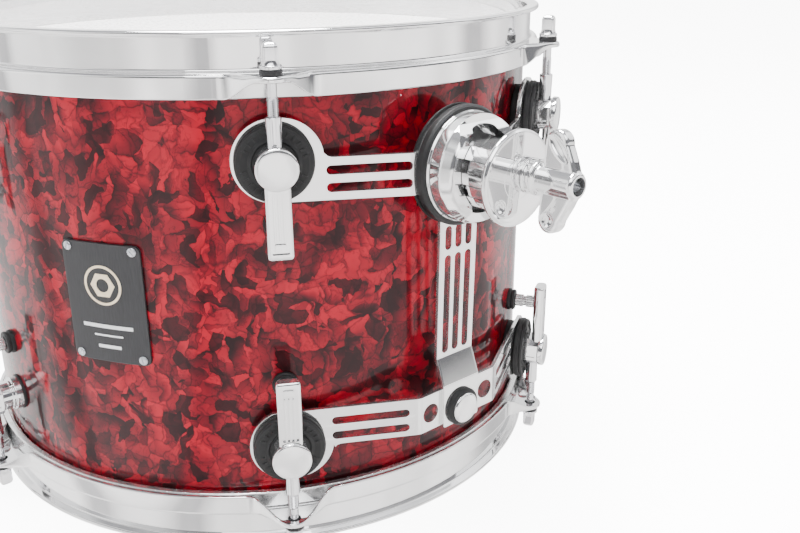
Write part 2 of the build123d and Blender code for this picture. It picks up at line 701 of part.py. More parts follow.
def strap(width):
    """The strap that drops from the bracket and kneels out over the lower band."""
    front = UPPER_FACET
    back = UPPER_FACET - FRAME_THICKNESS
    with BuildSketch(spoke_plane(0)) as section:
        with BuildLine():
            Polyline(
                (front, BRACKET_HEIGHT),
                (front, STRAP_LEAN_TOP),
                (STRAP_KNEE_FRONT, STRAP_KNEES[0]),
                (STRAP_FRONT, STRAP_KNEES[1]),
                (STRAP_FRONT, STRAP_END),
                (STRAP_FRONT - FRAME_THICKNESS, STRAP_END),
                (STRAP_FRONT - FRAME_THICKNESS, STRAP_KNEES[1] - 0.5),
                (STRAP_KNEE_FRONT - FRAME_THICKNESS, STRAP_KNEES[0] - 0.5),
                (back, STRAP_LEAN_TOP),
                (back, BRACKET_HEIGHT),
                close=True,
            )
        make_face()
    extrude(section.sketch, amount=width / 2, both=True)


def bracket_screw_circle(plane, radius, depth, mode):
    """Three round bars on the bracket's screw circle."""
    with BuildSketch(plane) as circles:
        for angle in BRACKET_SCREW_ANGLES:
            with Locations(Location((0, 0, 0), (0, 0, angle)) * Location((BRACKET_SCREW_CIRCLE, 0, 0))):
                Circle(radius)
    extrude(circles.sketch, amount=depth, mode=mode)


with BuildPart() as mount_frame_upper:
    band_blank(UPPER_FACET, *UPPER_BAND, BATTER)
    for azimuth in (LUG_AZIMUTHS[0], LUG_AZIMUTHS[-1]):
        ring_facet(azimuth, BATTER, UPPER_BAND, UPPER_SLOTS, UPPER_SLOT_ENDS)
    strap(STRAP_WIDTH)
    round_bar(face_plane(0, UPPER_FACET, BRACKET_HEIGHT), GASKET_RADIUS - 1.5, -FRAME_THICKNESS)
    with BuildSketch(face_plane(0, UPPER_FACET + 1)) as strap_slots:
        for column in (-STRAP_SLOT_SPACING, 0, STRAP_SLOT_SPACING):
            for height, length in (STRAP_LONG_SLOT, STRAP_SHORT_SLOT):
                with Locations((column, height)):
                    SlotOverall(length, STRAP_SLOT_WIDTH, rotation=90)
    extrude(strap_slots.sketch, amount=-FRAME_THICKNESS - 4, mode=Mode.SUBTRACT)
    joint_hole = face_plane(0, STRAP_FRONT + 1, JOINT_HEIGHT)
    round_bar(joint_hole, JOINT_HOLE_RADIUS, -FRAME_THICKNESS - 2, Mode.SUBTRACT)
    back_of_plate = face_plane(0, UPPER_FACET - FRAME_THICKNESS - 1, BRACKET_HEIGHT)
    bracket_screw_circle(back_of_plate, BRACKET_SCREW_RADIUS + 0.3, FRAME_THICKNESS + 2, Mode.SUBTRACT)
save(mount_frame_upper, "mount_frame_upper")

with BuildPart() as mount_frame_lower:
    band_blank(LOWER_FACET, *LOWER_BAND, RESONANT)
    for azimuth in (LUG_AZIMUTHS[0], LUG_AZIMUTHS[-1]):
        ring_facet(azimuth, RESONANT, LOWER_BAND, LOWER_SLOTS, LOWER_SLOT_ENDS)
    with BuildSketch(face_plane(0, LOWER_FACET + 1)) as lower_holes:
        with Locations((0, JOINT_HEIGHT)):
            Circle(JOINT_HOLE_RADIUS)
        with Locations((-LOWER_HOLE_OFFSET, LOWER_HOLE_HEIGHT), (LOWER_HOLE_OFFSET, LOWER_HOLE_HEIGHT)):
            Circle(LOWER_HOLE_RADIUS)
    extrude(lower_holes.sketch, amount=-FRAME_THICKNESS - 2, mode=Mode.SUBTRACT)
save(mount_frame_lower, "mount_frame_lower")

with BuildPart() as joint_rubber:
    with BuildSketch(face_plane(0, STRAP_FRONT, JOINT_HEIGHT)):
        Circle(JOINT_RUBBER_RADIUS)
        Circle(JOINT_BOLT_RADIUS + 0.1, mode=Mode.SUBTRACT)
    extrude(amount=JOINT_RUBBER_THICKNESS)
    fillet(joint_rubber.edges().filter_by(GeomType.CIRCLE).sort_by(Axis.Y)[0], 0.8)
save(joint_rubber, "joint_rubber")

with BuildPart() as joint_bolt:
    head_seat = STRAP_FRONT + JOINT_RUBBER_THICKNESS
    turned(
        spoke_plane(0, JOINT_HEIGHT),
        [
            (LOWER_FACET - 10, 0),
            (LOWER_FACET - 10, JOINT_BOLT_RADIUS),
            (head_seat, JOINT_BOLT_RADIUS),
            (head_seat, JOINT_HEAD_RADIUS),
            (head_seat + 1.0, JOINT_HEAD_RADIUS),
            (head_seat + 2.2, JOINT_HEAD_RADIUS - 1.6),
            (head_seat + 2.6, 0),
        ],
    )
save(joint_bolt, "joint_bolt")

with BuildPart() as joint_nut:
    with BuildSketch(face_plane(0, LOWER_FACET - FRAME_THICKNESS, JOINT_HEIGHT)):
        RegularPolygon(JOINT_NUT_RADIUS, 6)
        Circle(JOINT_BOLT_RADIUS + 0.02, mode=Mode.SUBTRACT)
    extrude(amount=-5)
save(joint_nut, "joint_nut")


# ---------------------------------------------------------------- clamp bracket


with BuildPart() as bracket_gasket:
    turned(
        spoke_plane(0, BRACKET_HEIGHT),
        [
            (UPPER_FACET, 6.0),
            (UPPER_FACET, GASKET_RADIUS),
            (GASKET_LIP - 1, GASKET_RADIUS),
            (GASKET_LIP, GASKET_RADIUS - 1),
            (GASKET_LIP, BASE_RADIUS),
            (GASKET_SEAT, BASE_RADIUS),
            (GASKET_SEAT, 6.0),
        ],
    )
    gasket_back = face_plane(0, UPPER_FACET - 1, BRACKET_HEIGHT)
    bracket_screw_circle(gasket_back, BRACKET_SCREW_RADIUS + 0.3, 6, Mode.SUBTRACT)
    # the half of the gasket that lies behind the plate
    with BuildSketch(face_plane(0, GASKET_BACK, BRACKET_HEIGHT)) as back_ring:
        Circle(GASKET_RADIUS)
        Circle(GASKET_BACK_BORE, mode=Mode.SUBTRACT)
    extrude(back_ring.sketch, amount=UPPER_FACET - FRAME_THICKNESS - GASKET_BACK)
save(bracket_gasket, "bracket_gasket")


def cup_outline(inset):
    """The cup's outline, (distance, radius): a foot, a round shoulder and a rim."""
    foot = BASE_RADIUS - inset
    rim = BASE_RIM_RADIUS - inset
    floor = GASKET_SEAT if inset == 0 else BASE_FLOOR
    with BuildSketch(spoke_plane(0, BRACKET_HEIGHT)) as outline:
        with BuildLine():
            Polyline((BASE_RIM, rim), (BASE_RIM, 0), (floor, 0), (floor, foot), (BASE_SHOULDER, foot))
            ThreePointArc(
                (BASE_SHOULDER, foot),
                ((BASE_SHOULDER + BASE_RIM) / 2 + 0.8, foot - 1.6),
                (BASE_RIM, rim),
            )
        make_face()
    return outline.sketch


with BuildPart() as bracket_base:
    cup_axis = Axis((0, 0, MID_Z + BRACKET_HEIGHT), (0, -1, 0))
    revolve(cup_outline(0), axis=cup_axis)
    revolve(cup_outline(BASE_WALL), axis=cup_axis, mode=Mode.SUBTRACT)
    # the rim slopes back towards the top, and is open at top and bottom for the arm
    with BuildSketch(spoke_plane(0, BRACKET_HEIGHT)) as slope:
        with BuildLine():
            Polyline(*RIM_SLOPE, close=True)
        make_face()
    extrude(slope.sketch, amount=30, both=True, mode=Mode.SUBTRACT)
    with BuildSketch(level_plane(0, ARM_DISTANCE, BRACKET_HEIGHT)) as arm_way:
        with Locations((0, ARM_OFFSET)):
            Rectangle(13.0, 2 * ARM_RADIUS + 3)
    extrude(arm_way.sketch, amount=30, both=True, mode=Mode.SUBTRACT)
    screw_start = face_plane(0, GASKET_SEAT - 1, BRACKET_HEIGHT)
    bracket_screw_circle(screw_start, BRACKET_SCREW_RADIUS + 0.02, 3.9, Mode.SUBTRACT)
    stud_seat = face_plane(0, GASKET_SEAT - 1, BRACKET_HEIGHT)
    with BuildSketch(stud_seat) as stud_hole:
        with Locations((STUD_OFFSET, 0)):
            Circle(CLAMP_STUD_RADIUS)
    extrude(stud_hole.sketch, amount=6, mode=Mode.SUBTRACT)
save(bracket_base, "bracket_base")


def tooth_rows(heights, start, end):
    """Guide teeth down both sides of a jaw, one at each height, rounded to the bracket's core."""
    with BuildSketch(face_plane(0, start, BRACKET_HEIGHT)) as teeth:
        with Locations(*[(0, height) for height in heights]):
            Rectangle(2 * JAW_RADIUS, TOOTH_HEIGHT)
        Circle(JAW_RADIUS, mode=Mode.INTERSECT)
        with Locations(((JAW_LEFT + JAW_RIGHT) / 2, 0)):
            Rectangle(JAW_RIGHT - JAW_LEFT, 2 * JAW_RADIUS, mode=Mode.SUBTRACT)
    extrude(teeth.sketch, amount=end - start)


def jaw_block(start, end):
    """A jaw's block between the guide teeth."""
    with BuildSketch(face_plane(0, start, BRACKET_HEIGHT)) as block:
        with Locations(((JAW_LEFT + JAW_RIGHT) / 2, 0)):
            Rectangle(JAW_RIGHT - JAW_LEFT, 2 * JAW_HALF_HEIGHT)
        Circle(JAW_RADIUS, mode=Mode.INTERSECT)
    extrude(block.sketch, amount=end - start)


def arm_groove():
    """The round groove that grips the arm."""
    with BuildSketch(level_plane(0, ARM_DISTANCE, BRACKET_HEIGHT - 30)) as groove:
        with Locations((0, ARM_OFFSET)):
            Circle(ARM_RADIUS)
    extrude(groove.sketch, amount=60, mode=Mode.SUBTRACT)


def stud_way(radius):
    """The hole for the clamp's stud."""
    with BuildSketch(face_plane(0, BASE_FLOOR - 1, BRACKET_HEIGHT)) as way:
        with Locations((STUD_OFFSET, 0)):
            Circle(radius)
    extrude(way.sketch, amount=60, mode=Mode.SUBTRACT)


with BuildPart() as fixed_jaw:
    jaw_block(BASE_FLOOR, ARM_DISTANCE - JAW_GAP / 2)
    tooth_rows(FIXED_TEETH, BASE_FLOOR, PLATE_BACK - 1.5)
    arm_groove()
    stud_way(CLAMP_STUD_RADIUS)
save(fixed_jaw, "fixed_jaw")

with BuildPart() as clamp_plate:
    round_bar(face_plane(0, PLATE_BACK, BRACKET_HEIGHT), PLATE_RADIUS, PLATE_FRONT - PLATE_BACK)
    front_edge = clamp_plate.edges().filter_by(GeomType.CIRCLE).sort_by(Axis.Y)[0]
    fillet(front_edge, 1.2)
    jaw_block(ARM_DISTANCE + JAW_GAP / 2, PLATE_BACK)
    tooth_rows(SLIDING_TEETH, ARM_DISTANCE - 5, PLATE_BACK)
    arm_groove()
    stud_way(CLAMP_STUD_RADIUS + 0.2)
save(clamp_plate, "clamp_plate")


def stud_axis_plane():
    """The plane through the clamp stud's axis: x outward, y up."""
    across = face_plane(0, 0, BRACKET_HEIGHT)
    origin = across.origin + across.x_dir * STUD_OFFSET
    return Plane(origin=origin, x_dir=(0, -1, 0), z_dir=(-1, 0, 0))


with BuildPart() as clamp_stud:
    turned(
        stud_axis_plane(),
        [
            (GASKET_SEAT + 0.2, 0),
            (GASKET_SEAT + 0.2, CLAMP_STUD_RADIUS),
            (BASE_FLOOR + 12, CLAMP_STUD_RADIUS),
            (BASE_FLOOR + 12, CLAMP_STUD_RADIUS - RUNNING_CLEARANCE),
            (CLAMP_STUD_END - 1, CLAMP_STUD_RADIUS - RUNNING_CLEARANCE),
            (CLAMP_STUD_END, CLAMP_STUD_RADIUS - 1),
            (CLAMP_STUD_END, 0),
        ],
    )
save(clamp_stud, "clamp_stud")

with BuildPart() as wing_nut_washer:
    turned(
        stud_axis_plane(),
        [
            (PLATE_FRONT, CLAMP_STUD_RADIUS + 0.2),
            (PLATE_FRONT, WING_FLANGE_RADIUS + 0.6),
            (WASHER_FACE - 0.4, WING_FLANGE_RADIUS + 0.6),
            (WASHER_FACE, WING_FLANGE_RADIUS + 0.2),
            (WASHER_FACE, CLAMP_STUD_RADIUS + 0.2),
        ],
    )
save(wing_nut_washer, "wing_nut_washer")


def paddle(sign):
    """One wing's outline: a rounded paddle that leans out from the hub."""
    with BuildSketch(stud_axis_plane()) as outline:
        tip_distance, tip_height, tip_radius = WING_TIP
        with Locations((tip_distance, sign * tip_height)):
            Circle(tip_radius)
        with Locations(*[(distance, 0) for distance in WING_ROOTS]):
            Circle(WING_ROOT_RADIUS)
        make_hull()
    return outline.sketch


with BuildPart() as wing_nut:
    extrude(paddle(1) + paddle(-1), amount=WING_THICKNESS / 2, both=True)
    fillet(wing_nut.faces().filter_by(Axis.X).edges(), 1.2)
    turned(
        stud_axis_plane(),
        [
            (WASHER_FACE, 0),
            (WASHER_FACE, WING_FLANGE_RADIUS - 0.5),
            (WASHER_FACE + 0.5, WING_FLANGE_RADIUS),
            (WING_FLANGE_FACE - 1.5, WING_FLANGE_RADIUS),
            (WING_FLANGE_FACE, WING_HUB_RADIUS),
            (WING_END - 1, WING_HUB_RADIUS),
            (WING_END, WING_HUB_RADIUS - 1),
            (WING_END, 0),
        ],
    )
    stud_way(CLAMP_STUD_RADIUS)
save(wing_nut, "wing_nut")

with BuildPart() as bracket_screws:
    screw_back = face_plane(0, UPPER_FACET - FRAME_THICKNESS, BRACKET_HEIGHT)
    bracket_screw_circle(screw_back, BRACKET_SCREW_RADIUS, SCREW_REACH, Mode.ADD)
    bracket_screw_circle(screw_back, BRACKET_SCREW_RADIUS + 1.8, -2.4, Mode.ADD)
save(bracket_screws, "bracket_screws")


# ---------------------------------------------------------------- badge


def on_shell(outline, inner, outer):
    """Wrap a flat outline round the shell, between two radii."""
    extrude(outline, amount=14, both=True)
    with BuildSketch(Plane.XY) as tube:
        Circle(outer)
        Circle(inner, mode=Mode.SUBTRACT)
    extrude(tube.sketch, amount=2 * MID_Z, mode=Mode.INTERSECT)


with BuildPart() as badge_plate:
    with BuildSketch(face_plane(BADGE_AZIMUTH, SHELL_RADIUS)) as badge_outline:
        RectangleRounded(BADGE_WIDTH, BADGE_HEIGHT, 3.2)
        with GridLocations(2 * BADGE_SCREW_X, 2 * BADGE_SCREW_Z, 2, 2):
            Circle(BADGE_SCREW_HOLE, mode=Mode.SUBTRACT)
    on_shell(badge_outline.sketch, SHELL_RADIUS, BADGE_FACE)
save(badge_plate, "badge_plate")

with BuildPart() as badge_emblem:
    with BuildSketch(face_plane(BADGE_AZIMUTH, SHELL_RADIUS, 9)) as emblem:
        Circle(9.5)
        Circle(8.3, mode=Mode.SUBTRACT)
        RegularPolygon(6.2, 6)
        Circle(3.2, mode=Mode.SUBTRACT)
    on_shell(emblem.sketch, BADGE_FACE, BADGE_FACE + 0.3)
save(badge_emblem, "badge_emblem")

with BuildPart() as badge_lines:
    with BuildSketch(face_plane(BADGE_AZIMUTH, SHELL_RADIUS, -11)) as lines:
        Rectangle(26, 1.8)
        with Locations((0, -4.5)):
            Rectangle(15, 0.9)
        with Locations((0, -10)):
            Rectangle(12, 1.6)
    on_shell(lines.sketch, BADGE_FACE, BADGE_FACE + 0.2)
save(badge_lines, "badge_lines")

with BuildPart() as badge_screws:
    badge_plane = face_plane(BADGE_AZIMUTH, 0)
    for x in (-BADGE_SCREW_X, BADGE_SCREW_X):
        seat = sqrt(BADGE_FACE**2 - (abs(x) - 2.1) ** 2)
        for z in (-BADGE_SCREW_Z, BADGE_SCREW_Z):
            with BuildSketch(badge_plane.offset(seat)) as head:
                with Locations((x, z)):
                    Circle(2.1)
            extrude(head.sketch, amount=0.9, taper=20)
            with BuildSketch(badge_plane.offset(seat - 8)) as shank:
                with Locations((x, z)):
                    Circle(1.0)
            extrude(shank.sketch, amount=8)
            with BuildSketch(badge_plane.offset(seat + 1)) as slot:
                with Locations((x, z)):
                    Rectangle(5, 0.6, rotation=25)
            extrude(slot.sketch, amount=-0.6, mode=Mode.SUBTRACT)
save(badge_screws, "badge_screws")
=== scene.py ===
import json
from math import asin, atan, cos, degrees, pi, radians, sin, sqrt, tan

import bmesh
import bpy
from mathutils import Matrix, Vector


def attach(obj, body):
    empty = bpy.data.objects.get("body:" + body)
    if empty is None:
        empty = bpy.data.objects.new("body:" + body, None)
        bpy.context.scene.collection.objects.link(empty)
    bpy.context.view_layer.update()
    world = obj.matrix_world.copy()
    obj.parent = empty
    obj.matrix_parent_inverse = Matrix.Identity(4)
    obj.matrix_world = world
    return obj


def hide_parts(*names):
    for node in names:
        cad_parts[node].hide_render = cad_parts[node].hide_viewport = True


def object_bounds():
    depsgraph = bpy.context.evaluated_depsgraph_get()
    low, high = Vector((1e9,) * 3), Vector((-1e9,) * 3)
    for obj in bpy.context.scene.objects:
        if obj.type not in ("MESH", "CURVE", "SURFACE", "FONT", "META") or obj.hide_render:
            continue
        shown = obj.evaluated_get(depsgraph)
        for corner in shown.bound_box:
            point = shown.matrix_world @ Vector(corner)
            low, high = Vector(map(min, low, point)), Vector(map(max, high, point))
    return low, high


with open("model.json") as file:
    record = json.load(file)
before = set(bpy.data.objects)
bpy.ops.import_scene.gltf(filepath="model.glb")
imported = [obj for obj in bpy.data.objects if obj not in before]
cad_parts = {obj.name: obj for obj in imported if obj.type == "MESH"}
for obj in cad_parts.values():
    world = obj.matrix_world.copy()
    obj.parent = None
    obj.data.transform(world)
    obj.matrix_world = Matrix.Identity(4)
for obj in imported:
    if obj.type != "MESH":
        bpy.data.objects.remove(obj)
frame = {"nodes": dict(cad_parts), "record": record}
CAD_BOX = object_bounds()

# Shapes below are drawn in millimetres and become metres when their mesh is made.
# A piece is drawn in the frame of its place on the drum: x along the shell, y outward from the
# drum's axis, and z from mid-depth towards the head of that side.
MM = 0.001
MID_DEPTH = (CAD_BOX[0].z + CAD_BOX[1].z) / 2 / MM
SIDES = {"batter": 1, "resonant": -1}
LUG_AZIMUTHS = [30 + 60 * i for i in range(6)]
FRAME_AZIMUTHS = (30, 330)
NODE_SLOT = {part["node"]: part["material_slot"] for part in frame["record"]["subparts"]}

SHELL_RADIUS = 152.4
ROD_DISTANCE = 167.2
LUG_HEIGHT = 67.0
STUD_HEIGHT = 38.5


# ---- places


def place(azimuth, side=1):
    """The frame of one place on the drum, as a matrix in metres."""
    out = Vector((sin(radians(azimuth)), -cos(radians(azimuth)), 0))
    up = Vector((0, 0, side))
    rotation = Matrix((out.cross(up), out, up)).transposed().to_4x4()
    return Matrix.Translation((0, 0, MID_DEPTH * MM)) @ rotation


LUG_PLACES = [place(azimuth, side) for side in SIDES.values() for azimuth in LUG_AZIMUTHS]
FRAME_PLACES = [place(azimuth, side) for side in SIDES.values() for azimuth in FRAME_AZIMUTHS]
PLAIN_AZIMUTHS = [azimuth for azimuth in LUG_AZIMUTHS if azimuth not in FRAME_AZIMUTHS]
PLAIN_PLACES = [place(azimuth, side) for side in SIDES.values() for azimuth in PLAIN_AZIMUTHS]
FRONT = place(0)


# ---- outlines


def rounded(points, steps=4):
    """A closed outline through (x, y) or (x, y, corner radius) points, with those corners rounded."""
    outline = []
    count = len(points)
    for i, point in enumerate(points):
        corner = Vector(point[:2])
        if len(point) < 3 or point[2] == 0:
            outline.append((corner.x, corner.y))
            continue
        before = Vector(points[i - 1][:2]) - corner
        after = Vector(points[(i + 1) % count][:2]) - corner
        bend = (pi - before.angle(after, 0)) / 2
        if bend < 0.01:
            outline += [(corner.x, corner.y)] * (steps + 1)
            continue
        reach = min(point[2] * tan(bend), 0.48 * before.length, 0.48 * after.length)
        radius = reach / tan(bend)
        middle = corner + (before.normalized() + after.normalized()).normalized() * (radius / cos(bend))
        start = corner + before.normalized() * reach - middle
        turn = start.angle_signed(corner + after.normalized() * reach - middle, 0)
        for step in range(steps + 1):
            spoke = start.copy()
            spoke.rotate(Matrix.Rotation(-turn * step / steps, 2))
            outline.append((middle.x + spoke.x, middle.y + spoke.y))
    return outline


def circle(x, y, radius, steps=32, start=0.0, sweep=360.0):
    """Points round a circle, or along part of one."""
    count = steps if sweep == 360 else steps + 1
    angles = [radians(start + sweep * i / steps) for i in range(count)]
    return [(x + radius * cos(a), y + radius * sin(a)) for a in angles]


def stadium(x, y, length, width, upright=False, steps=8):
    """A slot with round ends."""
    half = (length - width) / 2
    ends = circle(half, 0, width / 2, steps, -90, 180) + circle(-half, 0, width / 2, steps, 90, 180)
    if upright:
        return [(x - b, y + a) for a, b in ends]
    return [(x + a, y + b) for a, b in ends]


def box_outline(x, z, corner=0.0, steps=4):
    """A rectangle from its two ranges, with sharp or rounded corners."""
    (left, right), (low, high) = x, z
    corners = [(left, low), (right, low), (right, high), (left, high)]
    return rounded([(*point, corner) for point in corners], steps) if corner else corners


def bar_outline(low, high, radius):
    """The outline that turns into a plain round bar."""
    return [(low, 0), (high, 0), (high, radius), (low, radius)]


def mirrored(points):
    """An outline's other half, across the drum's middle."""
    return [(-x, z) for x, z in reversed(points)]


# ---- meshes


def skin(loops, ring=False):
    """A closed surface through equal loops of points, either ending in caps or joined into a ring."""
    shape = bmesh.new()
    rows = [[shape.verts.new([value * MM for value in point]) for point in loop] for loop in loops]
    pairs = list(zip(rows, rows[1:]))
    if ring:
        pairs.append((rows[-1], rows[0]))
    else:
        shape.faces.new(list(reversed(rows[0])))
        shape.faces.new(rows[-1])
    for low, high in pairs:
        for i in range(len(low)):
            j = (i + 1) % len(low)
            shape.faces.new((low[i], low[j], high[j], high[i]))
    bmesh.ops.remove_doubles(shape, verts=shape.verts, dist=1e-7)
    bmesh.ops.dissolve_degenerate(shape, edges=shape.edges, dist=1e-7)
    bmesh.ops.recalc_face_normals(shape, faces=shape.faces)
    return as_mesh(shape)


def opened(mesh):
    """A mesh as a bmesh."""
    shape = bmesh.new()
    shape.from_mesh(mesh)
    return shape


def as_mesh(shape):
    """Turn a bmesh into a mesh."""
    mesh = bpy.data.meshes.new("shape")
    shape.to_mesh(mesh)
    shape.free()
    return mesh


def lathe(outline, height=0.0, steps=64, across=0.0):
    """Turn an outline of (distance, radius) about a line that runs outward at a height."""
    loops = []
    for i in range(steps):
        c, s = cos(2 * pi * i / steps), sin(2 * pi * i / steps)
        loops.append([(across + r * c, d, height + r * s) for d, r in outline])
    return skin(loops, ring=True)


def ringed(stations, steps, radius, point):
    """A solid through rings at stations (along, ...), with a radius that may vary along and round it."""
    loops = []
    for along, *shape in stations:
        loop = []
        for i in range(steps):
            reach = radius(i / steps, along, *shape)
            loop.append(point(along, reach * cos(2 * pi * i / steps), reach * sin(2 * pi * i / steps)))
        loops.append(loop)
    return skin(loops)


def pillar(outline, distance=ROD_DISTANCE, steps=48):
    """Turn an outline of (height, radius) about a line that runs up, at a distance from the axis."""
    loops = []
    for i in range(steps):
        c, s = cos(2 * pi * i / steps), sin(2 * pi * i / steps)
        loops.append([(r * c, distance + r * s, h) for h, r in outline])
    return skin(loops, ring=True)


def prism(outline, low, high, axis="y"):
    """A straight-sided solid from an outline, along the y axis (outline in x, z) or the z axis."""
    if axis == "y":
        return skin([[(a, level, b) for a, b in outline] for level in (low, high)])
    return skin([[(a, b, level) for a, b in outline] for level in (low, high)])


def merged(meshes, matrices=None):
    """One mesh from several, or from one mesh at several places."""
    matrices = matrices or [Matrix()] * len(meshes)
    shape = bmesh.new()
    for mesh, matrix in zip(meshes, matrices):
        copy = mesh.copy()
        copy.transform(matrix)
        shape.from_mesh(copy)
        bpy.data.meshes.remove(copy)
    return as_mesh(shape)


def repeated(mesh, matrices):
    """One mesh that holds a copy of a mesh at each place."""
    return merged([mesh] * len(matrices), matrices)


def bake(item):
    """The mesh of an object with its modifiers applied; the object is removed."""
    graph = bpy.context.evaluated_depsgraph_get()
    mesh = bpy.data.meshes.new_from_object(item.evaluated_get(graph))
    bpy.data.objects.remove(item)
    return mesh


def placed(name, data):
    """A new object in the scene."""
    item = bpy.data.objects.new(name, data)
    bpy.context.scene.collection.objects.link(item)
    return item


def modify(item, kind, **settings):
    """Add a modifier to an object."""
    modifier = item.modifiers.new(kind.lower(), kind)
    for key, value in settings.items():
        setattr(modifier, key, value)


def combine(mesh, operation, *tools):
    """Boolean a mesh with others: UNION, DIFFERENCE or INTERSECT."""
    item = placed("scratch", mesh)
    scratch = [placed("tool", tool) for tool in tools]
    for tool in scratch:
        modify(item, "BOOLEAN", operation=operation, solver="EXACT", object=tool)
    result = bake(item)
    for tool in scratch:
        bpy.data.objects.remove(tool)
    return result


def bevelled(mesh, width, segments=2, angle=30):
    """Round the edges of a mesh that are sharper than an angle."""
    item = placed("scratch", mesh)
    modify(item, "BEVEL", width=width * MM, segments=segments, angle_limit=radians(angle))
    return bake(item)


def cast(mesh, voxel, smoothing):
    """Blend the joins of a mesh the way a casting's are, by remeshing and smoothing it."""
    item = placed("scratch", mesh)
    modify(item, "REMESH", mode="VOXEL", voxel_size=voxel * MM)
    modify(item, "SMOOTH", factor=0.5, iterations=smoothing)
    return bake(item)


def sheet(outline, holes, thickness, edge=0.2):
    """A flat plate with rounded edges: outline and holes in x, z, and its thickness along y."""
    curve = bpy.data.curves.new("sheet", "CURVE")
    curve.dimensions = "2D"
    curve.fill_mode = "BOTH"
    curve.extrude = (thickness / 2 - edge) * MM
    curve.bevel_depth = edge * MM
    curve.bevel_resolution = 1
    curve.offset = -edge * MM
    for loop in (outline, *holes):
        spline = curve.splines.new("POLY")
        spline.points.add(len(loop) - 1)
        for point, (x, z) in zip(spline.points, loop):
            point.co = (x * MM, z * MM, 0, 1)
        spline.use_cyclic_u = True
    shape = opened(bake(placed("scratch", curve)))
    bmesh.ops.remove_doubles(shape, verts=shape.verts, dist=1e-6)
    for vertex in shape.verts:
        vertex.co = Vector((vertex.co.x, -vertex.co.z, vertex.co.y))
    bmesh.ops.recalc_face_normals(shape, faces=shape.faces)
    return as_mesh(shape)


def slice_mesh(shape, position, normal):
    """Add a line of vertices where a plane crosses a shape."""
    geometry = list(shape.verts) + list(shape.edges) + list(shape.faces)
    bmesh.ops.bisect_plane(shape, geom=geometry, plane_co=position, plane_no=normal)


def fold_sheet(mesh, axis, sign, fold, angle, radius=3.0, steps=6):
    """Fold a sheet beyond a line on one side: axis 0 folds across x, and axis 2 across z."""
    shape = opened(mesh)
    turn = radians(abs(angle))
    bend = 1 if angle > 0 else -1
    start = fold - radius * tan(turn / 2)
    normal = Vector((1, 0, 0)) if axis == 0 else Vector((0, 0, 1))
    for step in range(steps + 1):
        line = sign * (start + radius * turn * step / steps) * MM
        slice_mesh(shape, normal * line, normal)
    for vertex in shape.verts:
        beyond = sign * vertex.co[axis] / MM - start
        if beyond > 0:
            reach = min(beyond / radius, turn)
            rest = beyond - radius * reach
            arm = radius + bend * vertex.co.y / MM
            vertex.co[axis] = sign * (start + arm * sin(reach) + rest * cos(reach)) * MM
            vertex.co.y = bend * (arm * cos(reach) - radius - rest * sin(reach)) * MM
    return as_mesh(shape)


def roll_on_shell(mesh, radius, step=2.0):
    """Wrap a flat plate round the shell, with its y measured from a radius."""
    shape = opened(mesh)
    reach = max(abs(vertex.co.x) for vertex in shape.verts) / MM
    lines = int(reach / step)
    for i in range(-lines, lines + 1):
        slice_mesh(shape, (i * step * MM, 0, 0), (1, 0, 0))
    for vertex in shape.verts:
        angle = vertex.co.x / (radius * MM)
        distance = radius * MM + vertex.co.y
        vertex.co.x = distance * sin(angle)
        vertex.co.y = distance * cos(angle)
    return as_mesh(shape)


def seated(mesh):
    """Shape the back of a mesh to the shell's round face, wherever it would cut into the shell."""
    for vertex in mesh.vertices:
        surface = sqrt((SHELL_RADIUS * MM) ** 2 - vertex.co.x**2)
        if vertex.co.y < surface + 1e-5:
            vertex.co.y = surface
    return mesh


# ---- materials


